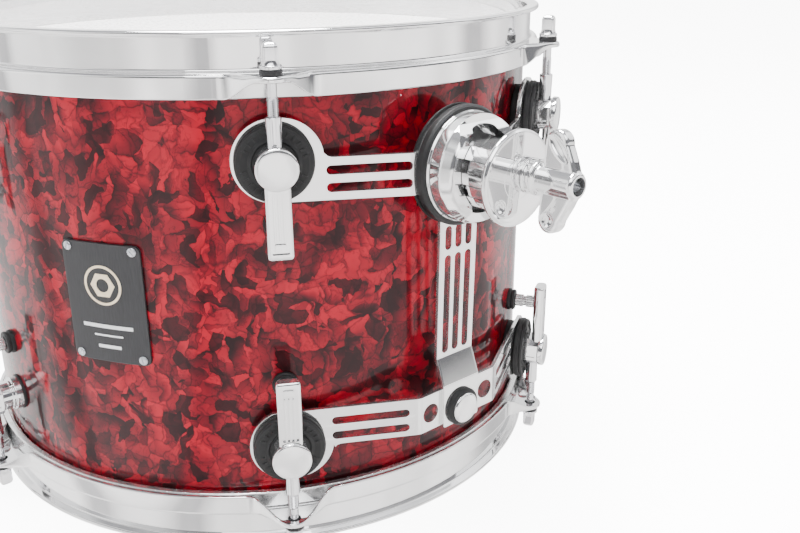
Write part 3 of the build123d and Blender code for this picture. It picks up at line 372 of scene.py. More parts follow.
class Nodes:
    """Short ways to add and link the nodes of one new material or world."""

    def __init__(self, name, owners=bpy.data.materials, coordinates="Object"):
        self.owner = owners.new(name)
        self.owner.use_nodes = True
        self.tree = self.owner.node_tree
        self.place = self.add("ShaderNodeTexCoord").outputs[coordinates]

    def add(self, kind, **values):
        node = self.tree.nodes.new(kind)
        for key, value in values.items():
            if key in node.inputs:
                self.feed(node.inputs[key], value)
            else:
                setattr(node, key, value)
        return node

    def feed(self, socket, value):
        if isinstance(value, bpy.types.NodeSocket):
            self.tree.links.new(value, socket)
        else:
            socket.default_value = value

    def set(self, **values):
        shader = self.tree.nodes["Principled BSDF"]
        for key, value in values.items():
            self.feed(shader.inputs[key.replace("_", " ")], value)

    def noise(self, scale, detail=3.0, roughness=0.5, vector=None, output="Fac"):
        settings = {"Vector": vector or self.place, "Scale": scale, "Detail": detail, "Roughness": roughness}
        return self.add("ShaderNodeTexNoise", **settings).outputs[output]

    def cells(self, scale, vector=None, feature="F1"):
        return self.add("ShaderNodeTexVoronoi", feature=feature, Vector=vector or self.place, Scale=scale)

    def stretched(self, scale, turn=(0, 0, 0), vector=None):
        mapping = self.add("ShaderNodeMapping", Vector=vector or self.place, Scale=scale, Rotation=turn)
        return mapping.outputs["Vector"]

    def math(self, operation, first, second=0.0):
        node = self.add("ShaderNodeMath", operation=operation)
        self.feed(node.inputs[0], first)
        self.feed(node.inputs[1], second)
        return node.outputs[0]

    def product(self, *factors):
        result = factors[0]
        for factor in factors[1:]:
            result = self.math("MULTIPLY", result, factor)
        return result

    def vector(self, operation, first, second):
        node = self.add("ShaderNodeVectorMath", operation=operation)
        self.feed(node.inputs[0], first)
        self.feed(node.inputs[1], second)
        return node.outputs["Value" if operation == "DOT_PRODUCT" else "Vector"]

    def scaled(self, vector, factor):
        node = self.add("ShaderNodeVectorMath", operation="SCALE", Vector=vector, Scale=factor)
        return node.outputs["Vector"]

    def between(self, value, low, high, start=0.0, end=1.0):
        ranges = {"From Min": low, "From Max": high, "To Min": start, "To Max": end}
        return self.add("ShaderNodeMapRange", Value=value, **ranges).outputs["Result"]

    def ramp(self, value, *stops):
        node = self.add("ShaderNodeValToRGB", Fac=value)
        elements = node.color_ramp.elements
        while len(elements) < len(stops):
            elements.new(0.5)
        for element, (position, colour) in zip(elements, stops):
            element.position = position
            element.color = (*colour, 1)
        return node.outputs["Color"]

    def mix(self, factor, first, second, blend="MIX"):
        node = self.add("ShaderNodeMix", data_type="RGBA", blend_type=blend, Factor=factor)
        for socket, value in zip((node.inputs[6], node.inputs[7]), (first, second)):
            self.feed(socket, (*value, 1) if isinstance(value, tuple) else value)
        return node.outputs[2]

    def bump(self, height, strength, distance):
        node = self.add("ShaderNodeBump", Height=height, Strength=strength, Distance=distance)
        return node.outputs["Normal"]


def chrome(name, tint=(0.90, 0.90, 0.905), roughness=0.035, ripple=0.02):
    """Plated metal: bright, with faint polishing haze and a slow ripple in its reflections."""
    nodes = Nodes(name)
    haze = nodes.noise(90.0, 4.0)
    fine = nodes.noise(2600.0, 2.0)
    film = nodes.between(haze, 0.3, 0.75, roughness * 0.6, roughness * 1.9)
    specks = nodes.between(fine, 0.4, 0.8, 0.0, roughness * 0.5)
    nodes.set(Metallic=0.93, Roughness=nodes.math("ADD", film, specks))
    shade = tuple(value * 0.95 for value in tint)
    nodes.set(Base_Color=nodes.mix(nodes.between(haze, 0.35, 0.7), tint, shade))
    nodes.set(Normal=nodes.bump(nodes.noise(55.0, 1.0), ripple, 0.0004))
    return nodes.owner


def rubber(name, colour, roughness, grain=900.0, depth=0.00006):
    """Moulded rubber or nylon: near black, dusty in its hollows, with a fine grain."""
    nodes = Nodes(name)
    cloud = nodes.noise(60.0, 4.0)
    light = tuple(min(1.0, value * 1.8) for value in colour)
    nodes.set(Base_Color=nodes.mix(nodes.between(cloud, 0.35, 0.75), colour, light))
    nodes.set(Roughness=nodes.between(cloud, 0.3, 0.7, roughness - 0.06, roughness + 0.08))
    nodes.set(Specular_IOR_Level=0.34)
    nodes.set(Normal=nodes.bump(nodes.noise(grain, 3.0), 0.4, depth))
    return nodes.owner


def pearl_wrap():
    """Red pearl: crumpled flakes that shade from bright to deep red, dark gaps, under clear gloss."""
    nodes = Nodes("pearl_wrap")
    bent = nodes.place
    for scale, roughness, amount in ((42.0, 0.5, 0.019), (150.0, 0.55, 0.0042)):
        warp = nodes.noise(scale, 3.0, roughness, output="Color")
        shift = nodes.scaled(nodes.vector("SUBTRACT", warp, (0.5, 0.5, 0.5)), amount)
        bent = nodes.vector("ADD", bent, shift)

    def flakes(scale, stretch, turn):
        """One layer of flakes: its random values, its inner shading, and its space."""
        space = nodes.stretched(stretch, turn, bent)
        layer = nodes.cells(scale, space)
        random = nodes.add("ShaderNodeSeparateColor", Color=layer.outputs["Color"])
        centre = nodes.scaled(layer.outputs["Position"], scale)
        inside = nodes.vector("SUBTRACT", nodes.scaled(space, scale), centre)
        lean = nodes.vector("SUBTRACT", layer.outputs["Color"], (0.5, 0.5, 0.5))
        return random.outputs, nodes.vector("DOT_PRODUCT", inside, lean), space

    def shaded(value, low, high, slope, amount):
        return nodes.math("ADD", nodes.between(value, 0.0, 1.0, low, high), nodes.product(slope, amount))

    def cracks(scale, space, *depths):
        """Dark lines between flakes, deeper in some patches than in others."""
        edge = nodes.cells(scale, space, "DISTANCE_TO_EDGE").outputs["Distance"]
        return nodes.between(edge, 0.0, 0.07, nodes.between(patches, 0.0, 1.0, *depths), 1.0)

    big_scale, small_scale = 84.0, 135.0
    big, big_slope, big_space = flakes(big_scale, (0.85, 1.0, 1.7), (0.5, 0.9, 0.2))
    small, small_slope, small_space = flakes(small_scale, (1.7, 1.0, 0.65), (1.1, 0.3, 1.9))
    gaps, gap_slope, _ = flakes(112.0, (0.7, 1.6, 1.1), (0.2, 1.7, 0.8))
    choice = nodes.add("ShaderNodeMix", data_type="FLOAT", Factor=nodes.between(small["Green"], 0.52, 0.55))
    nodes.feed(choice.inputs[2], shaded(big["Red"], 0.40, 0.92, big_slope, 1.0))
    nodes.feed(choice.inputs[3], shaded(small["Red"], 0.28, 1.0, small_slope, 1.2))
    dark = nodes.math("ADD", gaps["Blue"], nodes.product(gap_slope, 0.35))
    drift = nodes.between(nodes.noise(26.0, 2.0), 0.36, 0.62, 0.66, 1.10)
    vein = nodes.math("ABSOLUTE", nodes.math("SUBTRACT", nodes.noise(120.0, 3.0, 0.65, bent), 0.5))
    patches = nodes.between(nodes.noise(70.0, 2.0), 0.42, 0.58)
    tone = nodes.product(choice.outputs[0], nodes.between(dark, 0.12, 0.26, 0.25, 1.0), drift)
    lines = nodes.product(
        cracks(big_scale, big_space, 0.95, 0.50),
        cracks(small_scale, small_space, 0.55, 0.95),
        nodes.between(vein, 0.0, 0.022, 0.68, 1.0),
    )
    bright = nodes.product(tone, lines)
    colour = nodes.ramp(
        bright,
        (0.0, (0.014, 0.0020, 0.0030)),
        (0.16, (0.028, 0.0020, 0.0035)),
        (0.32, (0.068, 0.0012, 0.0050)),
        (0.50, (0.145, 0.0010, 0.0070)),
        (0.68, (0.225, 0.0010, 0.0090)),
        (0.92, (0.320, 0.0010, 0.0120)),
    )
    nodes.set(Base_Color=colour, Roughness=0.45, Specular_IOR_Level=0.08)
    nodes.set(Normal=nodes.bump(bright, 0.25, 0.0005))
    nodes.set(Coat_Weight=1.0, Coat_Roughness=0.01, Coat_IOR=1.25)
    return nodes.owner


def birch_ply():
    """Pale birch with long grain and faint rotary figure."""
    nodes = Nodes("birch_ply")
    grain = nodes.noise(30.0, 6.0, 0.65, nodes.stretched((1.0, 1.0, 14.0)))
    figure = nodes.noise(9.0, 3.0)
    tone = nodes.mix(nodes.between(grain, 0.35, 0.7), (0.60, 0.42, 0.25), (0.76, 0.58, 0.38))
    nodes.set(Base_Color=nodes.mix(nodes.between(figure, 0.3, 0.8, 0.0, 0.35), tone, (0.52, 0.33, 0.18)))
    nodes.set(Roughness=nodes.between(grain, 0.3, 0.7, 0.38, 0.55), Coat_Weight=0.25, Coat_Roughness=0.2)
    nodes.set(Normal=nodes.bump(grain, 0.25, 0.0002))
    return nodes.owner


def head_film():
    """Polyester film with a thin frosted coat."""
    nodes = Nodes("head_film")
    mottle = nodes.noise(420.0, 4.0, 0.6)
    cloud = nodes.between(nodes.noise(14.0, 3.0), 0.3, 0.7)
    nodes.set(Base_Color=nodes.mix(cloud, (0.93, 0.905, 0.89), (0.96, 0.945, 0.935)))
    nodes.set(Roughness=nodes.between(mottle, 0.3, 0.7, 0.22, 0.34))
    nodes.set(Normal=nodes.bump(mottle, 0.15, 0.00005))
    return nodes.owner


def brushed_badge():
    """Anodised plate with a fine upright brushing."""
    nodes = Nodes("badge_black")
    lines = nodes.noise(260.0, 3.0, 0.6, nodes.stretched((14.0, 14.0, 0.6)))
    strength = nodes.between(lines, 0.3, 0.7)
    nodes.set(Base_Color=nodes.mix(strength, (0.020, 0.020, 0.022), (0.034, 0.034, 0.037)))
    nodes.set(Roughness=nodes.between(lines, 0.3, 0.7, 0.34, 0.46), Metallic=0.3)
    nodes.set(Normal=nodes.bump(lines, 0.2, 0.00003))
    return nodes.owner


def printed(name, colour, metal=0.0):
    """Printed or foiled marks, very slightly uneven."""
    nodes = Nodes(name)
    patch = nodes.noise(700.0, 3.0)
    worn = tuple(value * 0.86 for value in colour)
    nodes.set(Base_Color=nodes.mix(nodes.between(patch, 0.45, 0.8), colour, worn), Metallic=metal)
    nodes.set(Roughness=nodes.between(patch, 0.3, 0.7, 0.36, 0.5))
    return nodes.owner


PAPER_GLOW = 9.0  # so that the paper is as white as the backdrop where the camera sees it


def studio_floor():
    """Pale seamless paper."""
    nodes = Nodes("studio_paper")
    fibre = nodes.noise(340.0, 5.0, 0.6)
    strength = nodes.between(fibre, 0.3, 0.7)
    nodes.set(Base_Color=nodes.mix(strength, (0.90, 0.90, 0.90), (0.92, 0.92, 0.92)))
    nodes.set(Roughness=0.75, Normal=nodes.bump(fibre, 0.05, 0.0001))
    lit = nodes.product(nodes.add("ShaderNodeLightPath").outputs["Is Camera Ray"], PAPER_GLOW)
    nodes.set(Emission_Color=(1, 1, 1, 1), Emission_Strength=lit)
    return nodes.owner


MATERIALS = {
    "birch_ply": birch_ply(),
    "pearl_wrap": pearl_wrap(),
    "chrome": chrome("chrome"),
    "chrome_rod": chrome("chrome_rod", (0.84, 0.84, 0.86), 0.05, 0.01),
    "head_film": head_film(),
    "aluminium": chrome("aluminium", (0.80, 0.80, 0.80), 0.16, 0.0),
    "black_nylon": rubber("black_nylon", (0.010, 0.010, 0.011), 0.32, 1400.0, 0.00003),
    "black_rubber": rubber("black_rubber", (0.009, 0.009, 0.0095), 0.5),
    "zinc_steel": chrome("zinc_steel", (0.62, 0.64, 0.68), 0.22, 0.0),
    "polished_steel": chrome("polished_steel", (0.83, 0.83, 0.83), 0.045, 0.012),
    "badge_black": brushed_badge(),
    "badge_gold": printed("badge_gold", (0.90, 0.74, 0.52), 0.15),
    "badge_white": printed("badge_white", (0.88, 0.88, 0.88)),
}


# ---- pieces

SHARP_ANGLE = 32


def piece(name, mesh, node, matrix=None, body="drum"):
    """Stand a detailed mesh in for a CAD node, in that node's material."""
    item = placed(name, mesh)
    item.matrix_world = matrix or Matrix()
    mesh.materials.clear()
    mesh.materials.append(MATERIALS[NODE_SLOT[node]])
    mesh.polygons.foreach_set("material_index", [0] * len(mesh.polygons))
    mesh.shade_smooth()
    mesh.set_sharp_from_angle(angle=radians(SHARP_ANGLE))
    modify(item, "WEIGHTED_NORMAL", keep_sharp=True, weight=60)
    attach(item, body)
    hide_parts(node)


# ---- hoops

EAR_REACH = 24.0
EAR_STEP = 1.0
EAR_ROOT_DISTANCE = 157.0
EAR_TIP_DISTANCE = 166.2
EAR_TIP_RADIUS = 7.0
EAR_ROUND = 5.0  # half the width over which the ear's end is round
EAR_ROOTS = (16.5, 20.0)  # half the ear's width where it leaves the hoop, at the flange and the skirt's foot
EAR_BELL = (14.5, 7.9)  # how far from the ear the skirt's edge starts to rise, and by how much
HOOP_WALL = 153.0
HOOP_SHEET = 2.3
HOOP_FACE = HOOP_WALL + HOOP_SHEET
HOOP_RADIUS = 159.4
HOOP_TOP = 120.0
LIP_UNDERSIDE = HOOP_TOP - HOOP_SHEET
FLANGE_TOP = 103.6
FLANGE_UNDERSIDE = FLANGE_TOP - HOOP_SHEET
SKIRT_FOOT = 93.1


def skirt_foot(offset):
    """The height of the skirt's lower edge beside an ear: it rises as a bell towards the ear."""
    width, height = EAR_BELL
    share = min(max((abs(offset) - EAR_ROUND) / width, 0.0), 1.0)
    return SKIRT_FOOT + height * (0.5 + 0.5 * cos(pi * share))


def ear_front(offset, height):
    """How far out the hoop's outer face lies beside an ear, along the ear's own direction."""
    offset = abs(offset)
    rim = sqrt(HOOP_RADIUS**2 - offset**2)
    if offset <= EAR_ROUND:
        return EAR_TIP_DISTANCE + sqrt(EAR_TIP_RADIUS**2 - offset**2)
    shoulder = EAR_TIP_DISTANCE + sqrt(EAR_TIP_RADIUS**2 - EAR_ROUND**2)
    top, bottom = EAR_ROOTS
    root = top + (bottom - top) * (FLANGE_TOP - height) / (FLANGE_TOP - SKIRT_FOOT)
    foot = sqrt(HOOP_RADIUS**2 - root**2)
    flank = shoulder + (offset - EAR_ROUND) * (foot - shoulder) / (root - EAR_ROUND)
    softness = 0.9
    return 0.5 * (flank + rim + sqrt((flank - rim) ** 2 + softness**2))


def hoop_section(offset, front, foot_front, foot):
    """The hoop's section across one station, from the wall's foot round to the flange's underside."""
    def at(radius):
        return sqrt(radius**2 - offset**2)

    return rounded(
        [
            (at(HOOP_WALL), FLANGE_UNDERSIDE, 0.8),
            (at(HOOP_WALL), HOOP_TOP, 1.5),
            (at(HOOP_RADIUS), HOOP_TOP, 1.15),
            (at(HOOP_RADIUS), LIP_UNDERSIDE, 1.1),
            (at(HOOP_FACE), LIP_UNDERSIDE, 0.8),
            (at(HOOP_FACE), FLANGE_TOP, 1.3),
            (front, FLANGE_TOP, 3.0),
            (foot_front, foot, 0.7),
            (foot_front - HOOP_SHEET, foot, 0.7),
            (front - HOOP_SHEET, FLANGE_UNDERSIDE, 0.6),
        ],
        steps=5,
    )


def hoop_mesh():
    """A triple-flanged hoop, drawn out into an ear at each tension rod."""
    loops = []
    ear_turn = degrees(EAR_REACH / EAR_ROOT_DISTANCE)
    plain_steps = 14
    steps = int(EAR_REACH / EAR_STEP)
    plain = hoop_section(0.0, HOOP_RADIUS, HOOP_RADIUS, SKIRT_FOOT)
    for azimuth in LUG_AZIMUTHS:
        turn = Matrix.Rotation(radians(azimuth), 3, "Z")
        for i in range(-steps, steps + 1):
            offset = i * EAR_STEP
            foot = skirt_foot(offset)
            outline = hoop_section(offset, ear_front(offset, FLANGE_TOP), ear_front(offset, foot), foot)
            loops.append([turn @ Vector((offset, -distance, height)) for distance, height in outline])
        for i in range(1, plain_steps):
            between = azimuth + ear_turn + (60 - 2 * ear_turn) * i / plain_steps
            spoke = Matrix.Rotation(radians(between), 3, "Z")
            loops.append([spoke @ Vector((0, -distance, height)) for distance, height in plain])
    drill = pillar(bar_outline(90, 110, 3.1), steps=32)
    drills = repeated(drill, [Matrix.Rotation(radians(azimuth + 180), 4, "Z") for azimuth in LUG_AZIMUTHS])
    return combine(skin(loops, ring=True), "DIFFERENCE", drills)


HOOP = hoop_mesh()
FLESH_HOOP_OUTLINE = [(92.8, 153.6, 0.8), (92.8, 157.0, 0.8), (101.2, 157.0, 1.2), (101.2, 153.6, 0.4)]
FILM_OUTLINE = [
    (101.6, 0), (101.6, 149.8, 3), (98.6, 153.2, 2), (94.0, 153.2), (94.0, 153.6),
    (98.7, 153.6, 2), (102.0, 150.0, 3), (102.0, 0),
]
FLESH_HOOP = pillar(rounded(FLESH_HOOP_OUTLINE), 0, 240)
FILM = pillar(rounded(FILM_OUTLINE), 0, 240)
for side_name, side in SIDES.items():
    flip = place(180, side)
    piece(f"{side_name}_rim", HOOP.copy(), f"{side_name}_hoop", flip)
    piece(f"{side_name}_head_ring", FLESH_HOOP.copy(), f"{side_name}_flesh_hoop", flip)
    piece(f"{side_name}_drumhead", FILM.copy(), f"{side_name}_head_film", flip)


# ---- tension rods


def on_rod(height, x, y):
    """A point beside a tension rod's line."""
    return (x, ROD_DISTANCE + y, height)


def rod_shank():
    """The rod from its screw end to its flange, with a helical thread on its lower part."""
    foot, thread_top, pitch = 71.4, 95.8, 0.8

    def radius(turn, height):
        fade = min(1.0, max(0.0, (thread_top - height) / 1.2))
        return 2.08 + fade * (0.36 - 0.84 * abs((height / pitch - turn) % 1.0 - 0.5))

    heights = [foot + pitch * i / 6 for i in range(int((thread_top - foot) / pitch * 6))]
    return ringed([(height,) for height in heights + [thread_top, 96.6, 106.2]], 28, radius, on_rod)


def key_head():
    """A square head for a drum key: it flares into the flange and tapers at its top."""
    def radius(turn, _, half, roundness):
        power = 2 / (roundness + (1 - roundness) * 0.16)
        return half / (abs(cos(2 * pi * turn)) ** power + abs(sin(2 * pi * turn)) ** power) ** (1 / power)

    # height, half the width across the flats, and how round the section is
    sections = [
        (107.3, 4.1, 1.0), (107.9, 3.75, 0.75), (108.8, 3.3, 0.35), (109.8, 3.15, 0.14), (114.4, 3.12, 0.12),
        (115.4, 2.75, 0.14), (116.1, 2.1, 0.3), (116.4, 1.2, 0.6),
    ]
    return ringed(sections, 48, radius, on_rod)


ROD_FLANGE = pillar(rounded([(106.0, 0), (107.7, 0), (107.7, 4.5, 0.6), (106.0, 4.5, 0.4)]))
ROD = merged([rod_shank(), ROD_FLANGE, key_head()])
WASHER = pillar(rounded([(103.6, 2.7, 0.2), (103.6, 4.6, 0.5), (105.95, 4.6, 0.5), (105.95, 2.7, 0.2)]))
NUT_OUTLINE = [
    (69.5, 2.5), (69.5, 3.1, 0.2), (75.2, 3.1), (75.6, 3.1), (86.9, 3.35, 0.3), (87.3, 3.1, 0.2), (87.3, 2.5),
]
NUT = pillar(rounded(NUT_OUTLINE))
for side_name, side in SIDES.items():
    for number, azimuth in enumerate(LUG_AZIMUTHS, start=1):
        node = f"{side_name}_rod_{number}"
        piece(f"{side_name}_tension_rod_{number}", ROD.copy(), node, place(azimuth, side), body=node)
    ring = [place(azimuth, side) for azimuth in LUG_AZIMUTHS]
    piece(f"{side_name}_nylon_washers", repeated(WASHER, ring), f"{side_name}_rod_washers")
piece("swivel_nuts", repeated(NUT, LUG_PLACES), "lug_nuts")


# ---- lugs

CROWN_RADIUS = 62.0
CROWN_TOP = 175.0
BAR_FOOT = 28.4
BAR_HALF = (5.5, 2.9)  # across and deep
BAR_MIDDLE = 169.9


def lug_bar():
    """The bar along a lug: slightly tapered, with a rounded end."""
    half, depth = BAR_HALF
    section = rounded([(-half, 167.0, 2.4), (half, 167.0, 2.4), (half, 172.8, 1.2), (-half, 172.8, 1.2)], 5)
    loops = []
    for height, inset in ((62.5, 0.0), (61.0, 0.0), (30.0, 0.0), (29.0, 0.25), (28.5, 0.7), (BAR_FOOT, 1.2)):
        narrow = (half - inset) / half * (1 - 0.04 * (height - BAR_FOOT) / 34)
        shallow = (depth - inset) / depth
        loops.append([(x * narrow, BAR_MIDDLE + (y - BAR_MIDDLE) * shallow, height) for x, y in section])
    return skin(loops)


def lug_mesh(in_frame):
    """A lug: crowned cap, faceted body, grooved bar, and a stepped foot or a neck."""
    cap = [(CROWN_TOP - r * r / (2 * CROWN_RADIUS), r) for r in (0, 1.5, 3, 4.5, 6, 7, 8)]
    cap += [(174.3, 8.5), (174.0, 8.8), (173.5, 9.0), (172.0, 9.0), (171.4, 8.9), (171.0, 8.5), (171.0, 0)]
    corners = [(-7.2, -4.5), (-4.2, -7.5), (4.2, -7.5), (7.2, -4.5)]
    corners += [(-x, -z) for x, z in corners]
    facets = rounded([(x, LUG_HEIGHT + z, 0.5) for x, z in corners], 2)
    body = bevelled(prism(facets, 163.0, 171.4), 0.35, 2, 40)
    foot = [(152.7, 0), (163.5, 0), (163.5, 6.0), (152.7, 6.0, 0.3)]
    if not in_frame:
        foot = [
            (153.4, 0), (163.4, 0), (163.4, 7.2), (158.6, 7.2, 0.3), (158.2, 7.7, 0.3),
            (157.2, 7.7, 0.3), (156.8, 8.5, 0.5), (153.4, 8.5, 0.4),
        ]
    lug = combine(body, "UNION", lathe(cap, LUG_HEIGHT), lathe(rounded(foot), LUG_HEIGHT), lug_bar())
    panel = prism(box_outline((-3.7, 3.7), (31.0, 57.4), 0.6), 171.7, 174.0)
    side = box_outline((64.4, 69.6), (164.8, 170.0), 0.6)
    recesses = [skin([[(x, b, a) for a, b in side] for x in pair]) for pair in ((-9, -6.7), (6.7, 9))]
    socket = pillar(bar_outline(69.6, 90, 3.45), steps=40)
    lug = combine(lug, "DIFFERENCE", panel, merged(recesses), socket)
    raised = [prism(stadium(x, 47.2, 22.0, 1.0, True), 171.5, 172.65) for x in (-1.95, 0, 1.95)]
    raised.append(prism(box_outline((-2.4, 2.4), (32.2, 35.4), 0.5), 171.5, 172.6))
    return merged([lug] + [bevelled(item, 0.18, 2, 40) for item in raised])


LUGS = {True: lug_mesh(True), False: lug_mesh(False)}
for side_name, side in SIDES.items():
    for number, azimuth in enumerate(LUG_AZIMUTHS, start=1):
        mesh = LUGS[azimuth in FRAME_AZIMUTHS].copy()
        piece(f"{side_name}_lug_casting_{number}", mesh, f"{side_name}_lug_{number}", place(azimuth, side))

GASKET = seated(lathe(rounded([(151.5, 3.3), (151.5, 9.1), (153.4, 9.1, 0.5), (153.4, 3.3)]), LUG_HEIGHT))
piece("lug_foot_gaskets", repeated(GASKET, PLAIN_PLACES), "lug_gaskets")


def ribbed_stud():
    """A locating stud with ribs that run along it, waisted in the middle, and a plain pin behind."""
    def radius(turn, _, middle, rib):
        return middle + rib * (0.5 + 0.5 * cos(24 * pi * turn)) ** 0.6 - rib / 2

    # distance, radius and rib depth
    profile = [
        (156.4, 3.0, 0.2), (156.9, 3.2, 0.45), (160.7, 3.2, 0.45), (161.0, 2.7, 0.1),
        (162.3, 2.7, 0.1), (162.6, 3.2, 0.45), (166.6, 3.2, 0.45), (167.0, 3.0, 0.2),
    ]
    ribs = ringed(profile, 96, radius, lambda distance, x, z: (x, distance, STUD_HEIGHT + z))
    pin = lathe(rounded([(146.4, 0), (156.8, 0), (156.8, 2.0), (146.4, 2.0, 0.4)]), STUD_HEIGHT, 24)
    return merged([ribs, pin])


GROMMET_OUTLINE = [
    (146.4, 2.05), (146.4, 4.0, 0.4), (151.9, 4.0), (151.9, 6.0), (153.7, 6.0, 0.4), (154.1, 5.3, 0.2),
    (154.7, 5.3, 0.2), (155.0, 5.8, 0.3), (156.2, 5.6, 0.5), (156.3, 3.4, 0.2), (155.0, 2.05),
]
GROMMET = lathe(rounded(GROMMET_OUTLINE), STUD_HEIGHT, 48)
piece("locating_studs", repeated(ribbed_stud(), LUG_PLACES), "lug_studs")
piece("stud_grommets", repeated(GROMMET, LUG_PLACES), "lug_grommets")


# ---- isolation mounts


def isolation_mesh():
    """A rubber in two lobes about the frame's ring, with raised ticks round its face."""
    outline = [
        (151.6, 6.05), (151.6, 13.6, 0.3), (152.6, 14.5, 1.2), (155.0, 14.5, 1.4), (156.4, 13.2, 0.6),
        (156.5, 10.9, 0.3), (158.5, 10.9, 0.3), (158.6, 15.6, 0.8), (159.4, 16.75, 1.0), (161.7, 16.75, 0.8),
        (162.1, 15.9, 0.3), (162.5, 16.4, 0.5), (163.6, 15.9, 0.6), (163.8, 14.0, 0.6), (163.3, 11.4, 0.5),
        (163.7, 9.9, 0.3), (162.9, 9.2, 0.2), (162.9, 6.05),
    ]
    body = lathe(rounded(outline, 3), LUG_HEIGHT, 96)
    tick = prism(box_outline((-0.45, 0.45), (12.0, 14.6), 0.3, 2), 163.2, 164.0)
    centre = Matrix.Translation((0, 0, LUG_HEIGHT * MM))
    turns = [2 * pi * i / 28 for i in range(28) if i % 7 not in (0, 6)]
    ticks = repeated(tick, [centre @ Matrix.Rotation(turn, 4, "Y") for turn in turns])
    return seated(merged([body, ticks]))


piece("isolation_rubbers", repeated(isolation_mesh(), FRAME_PLACES), "isolation_mounts")


# ---- suspension frame

FRAME_SHEET = 2.0
LUG_FACET = 158.5
UPPER_FACET = 166.8
LOWER_FACET = 168.5
RING_RADIUS = 18.0
RING_STRETCH = 3.0
RING_HEIGHT = 67.2
FRAME_TURN = 30.0
SLOT_HEIGHT = 3.8
HUB_HEIGHT = 58.0
HUB_RADIUS = 25.8
STRAP_HALF = 11.75
STRAP_FOOT = -71.5
STRAP_COLUMNS = (-6.5, 0, 6.5)
JOINT_HEIGHT = -62.3
JOINT_HOLE = 4.2


def fold_place(facet):
    """Where a band folds, and where its rings' centres lie, along the middle of its sheet."""
    turn = radians(FRAME_TURN)
    middle = facet - FRAME_SHEET / 2
    fold = (LUG_FACET - FRAME_SHEET / 2 - middle * cos(turn)) / sin(turn)
    ring = fold + middle * sin(turn) - fold * cos(turn)
    return fold, ring


def band_end(ring, low, high):
    """One end of a band, from its lower edge round the ring to its upper edge."""
    outer = [(x, max(z, low)) for x, z in circle(ring, RING_HEIGHT, RING_RADIUS, 48, -92, 182)]
    inner = circle(ring - RING_STRETCH, RING_HEIGHT, RING_RADIUS, 24, 92, 76)
    x, z = inner[-1]
    fillet = [(x - 0.15, z - 1.2), (x - 0.7, high + 1.6), (x - 1.7, high + 0.6), (x - 3.2, high + 0.1)]
    return outer + inner + fillet + [(x - 5.0, high)]


def band_holes(ring, heights, ends):
    """The rubber's hole and the long slots at both ends of a band."""
    holes = []
    for sign in (-1, 1):
        holes.append(circle(sign * ring, LUG_HEIGHT, 11.0, 40))
        for height in heights:
            holes.append(stadium(sign * (ring - sum(ends) / 2), height, ends[1] - ends[0], SLOT_HEIGHT))
    return holes


def bent_band(mesh, facet, fold):
    """Fold both ends of a flat band back to its lugs and move it out to its facet."""
    for sign in (-1, 1):
        mesh = fold_sheet(mesh, 0, sign, fold, FRAME_TURN, radius=5.0)
    mesh.transform(Matrix.Translation((0, (facet - FRAME_SHEET / 2) * MM, 0)))
    return mesh


KNEES = (35.5, 49.0)
KNEE_FRONT = 165.3
LEAN_TOP = 28.0
STRAP_FRONT = LOWER_FACET + FRAME_SHEET


def hub_edge(x):
    """The height of the lower edge of the round hub behind the clamp."""
    return HUB_HEIGHT - sqrt(HUB_RADIUS**2 - x**2)


def upper_frame():
    """The upper band and the strap, cut and folded from one sheet."""
    low, high = 48.8, 67.8
    fold, ring = fold_place(UPPER_FACET)
    right = band_end(ring, low, high)
    top_join = degrees(asin((high - HUB_HEIGHT) / HUB_RADIUS))
    hub_top = circle(0, HUB_HEIGHT, HUB_RADIUS, 24, top_join, 180 - 2 * top_join)
    blend = STRAP_HALF + 5
    neck = [
        (STRAP_HALF, hub_edge(STRAP_HALF)), (blend, hub_edge(blend)),
        (sqrt(HUB_RADIUS**2 - (HUB_HEIGHT - low) ** 2), low),
    ]
    foot = [(-STRAP_HALF, STRAP_FOOT, 1.2), (STRAP_HALF, STRAP_FOOT, 1.2), (STRAP_HALF, 0), (-STRAP_HALF, 0)]
    outline = neck + right + hub_top + mirrored(right) + mirrored(neck) + rounded(foot)[:10]
    holes = band_holes(ring, (54.6, 62.2), (21.6, 58.6))
    for column in STRAP_COLUMNS:
        holes.append(stadium(column, -8.6, 49.8, 4.0, True))
        holes.append(stadium(column, 24.7, 11.4, 4.0, True))
    holes.append(circle(0, JOINT_HEIGHT - 0.9, JOINT_HOLE, 24))
    flat = sheet(outline, holes, FRAME_SHEET)
    upper_knee, lower_knee = KNEES
    lean = degrees(atan((UPPER_FACET - KNEE_FRONT) / (LEAN_TOP + upper_knee)))
    knee = degrees(atan((STRAP_FRONT - KNEE_FRONT) / (lower_knee - upper_knee)))
    flat = fold_sheet(flat, 2, -1, lower_knee + 0.9, knee)
    flat = fold_sheet(flat, 2, -1, upper_knee, -knee - lean)
    flat = fold_sheet(flat, 2, -1, -LEAN_TOP, lean, radius=20.0)
    return bent_band(flat, UPPER_FACET, fold)


def lower_frame():
    """The lower band, with a round hole on each side of the joint."""
    fold, ring = fold_place(LOWER_FACET)
    right = band_end(ring, 50.3, 69.6)
    holes = band_holes(ring, (57.2, 64.9), (20.3, 57.2))
    for x, z, radius in ((0, -JOINT_HEIGHT, JOINT_HOLE), (-18.5, 60.5, 4.8), (18.5, 60.5, 4.8)):
        holes.append(circle(x, z, radius, 28))
    return bent_band(sheet(right + mirrored(right), holes, FRAME_SHEET), LOWER_FACET, fold)


piece("upper_suspension_frame", upper_frame(), "mount_frame_upper", FRONT)
piece("lower_suspension_frame", lower_frame(), "mount_frame_lower", place(0, -1))

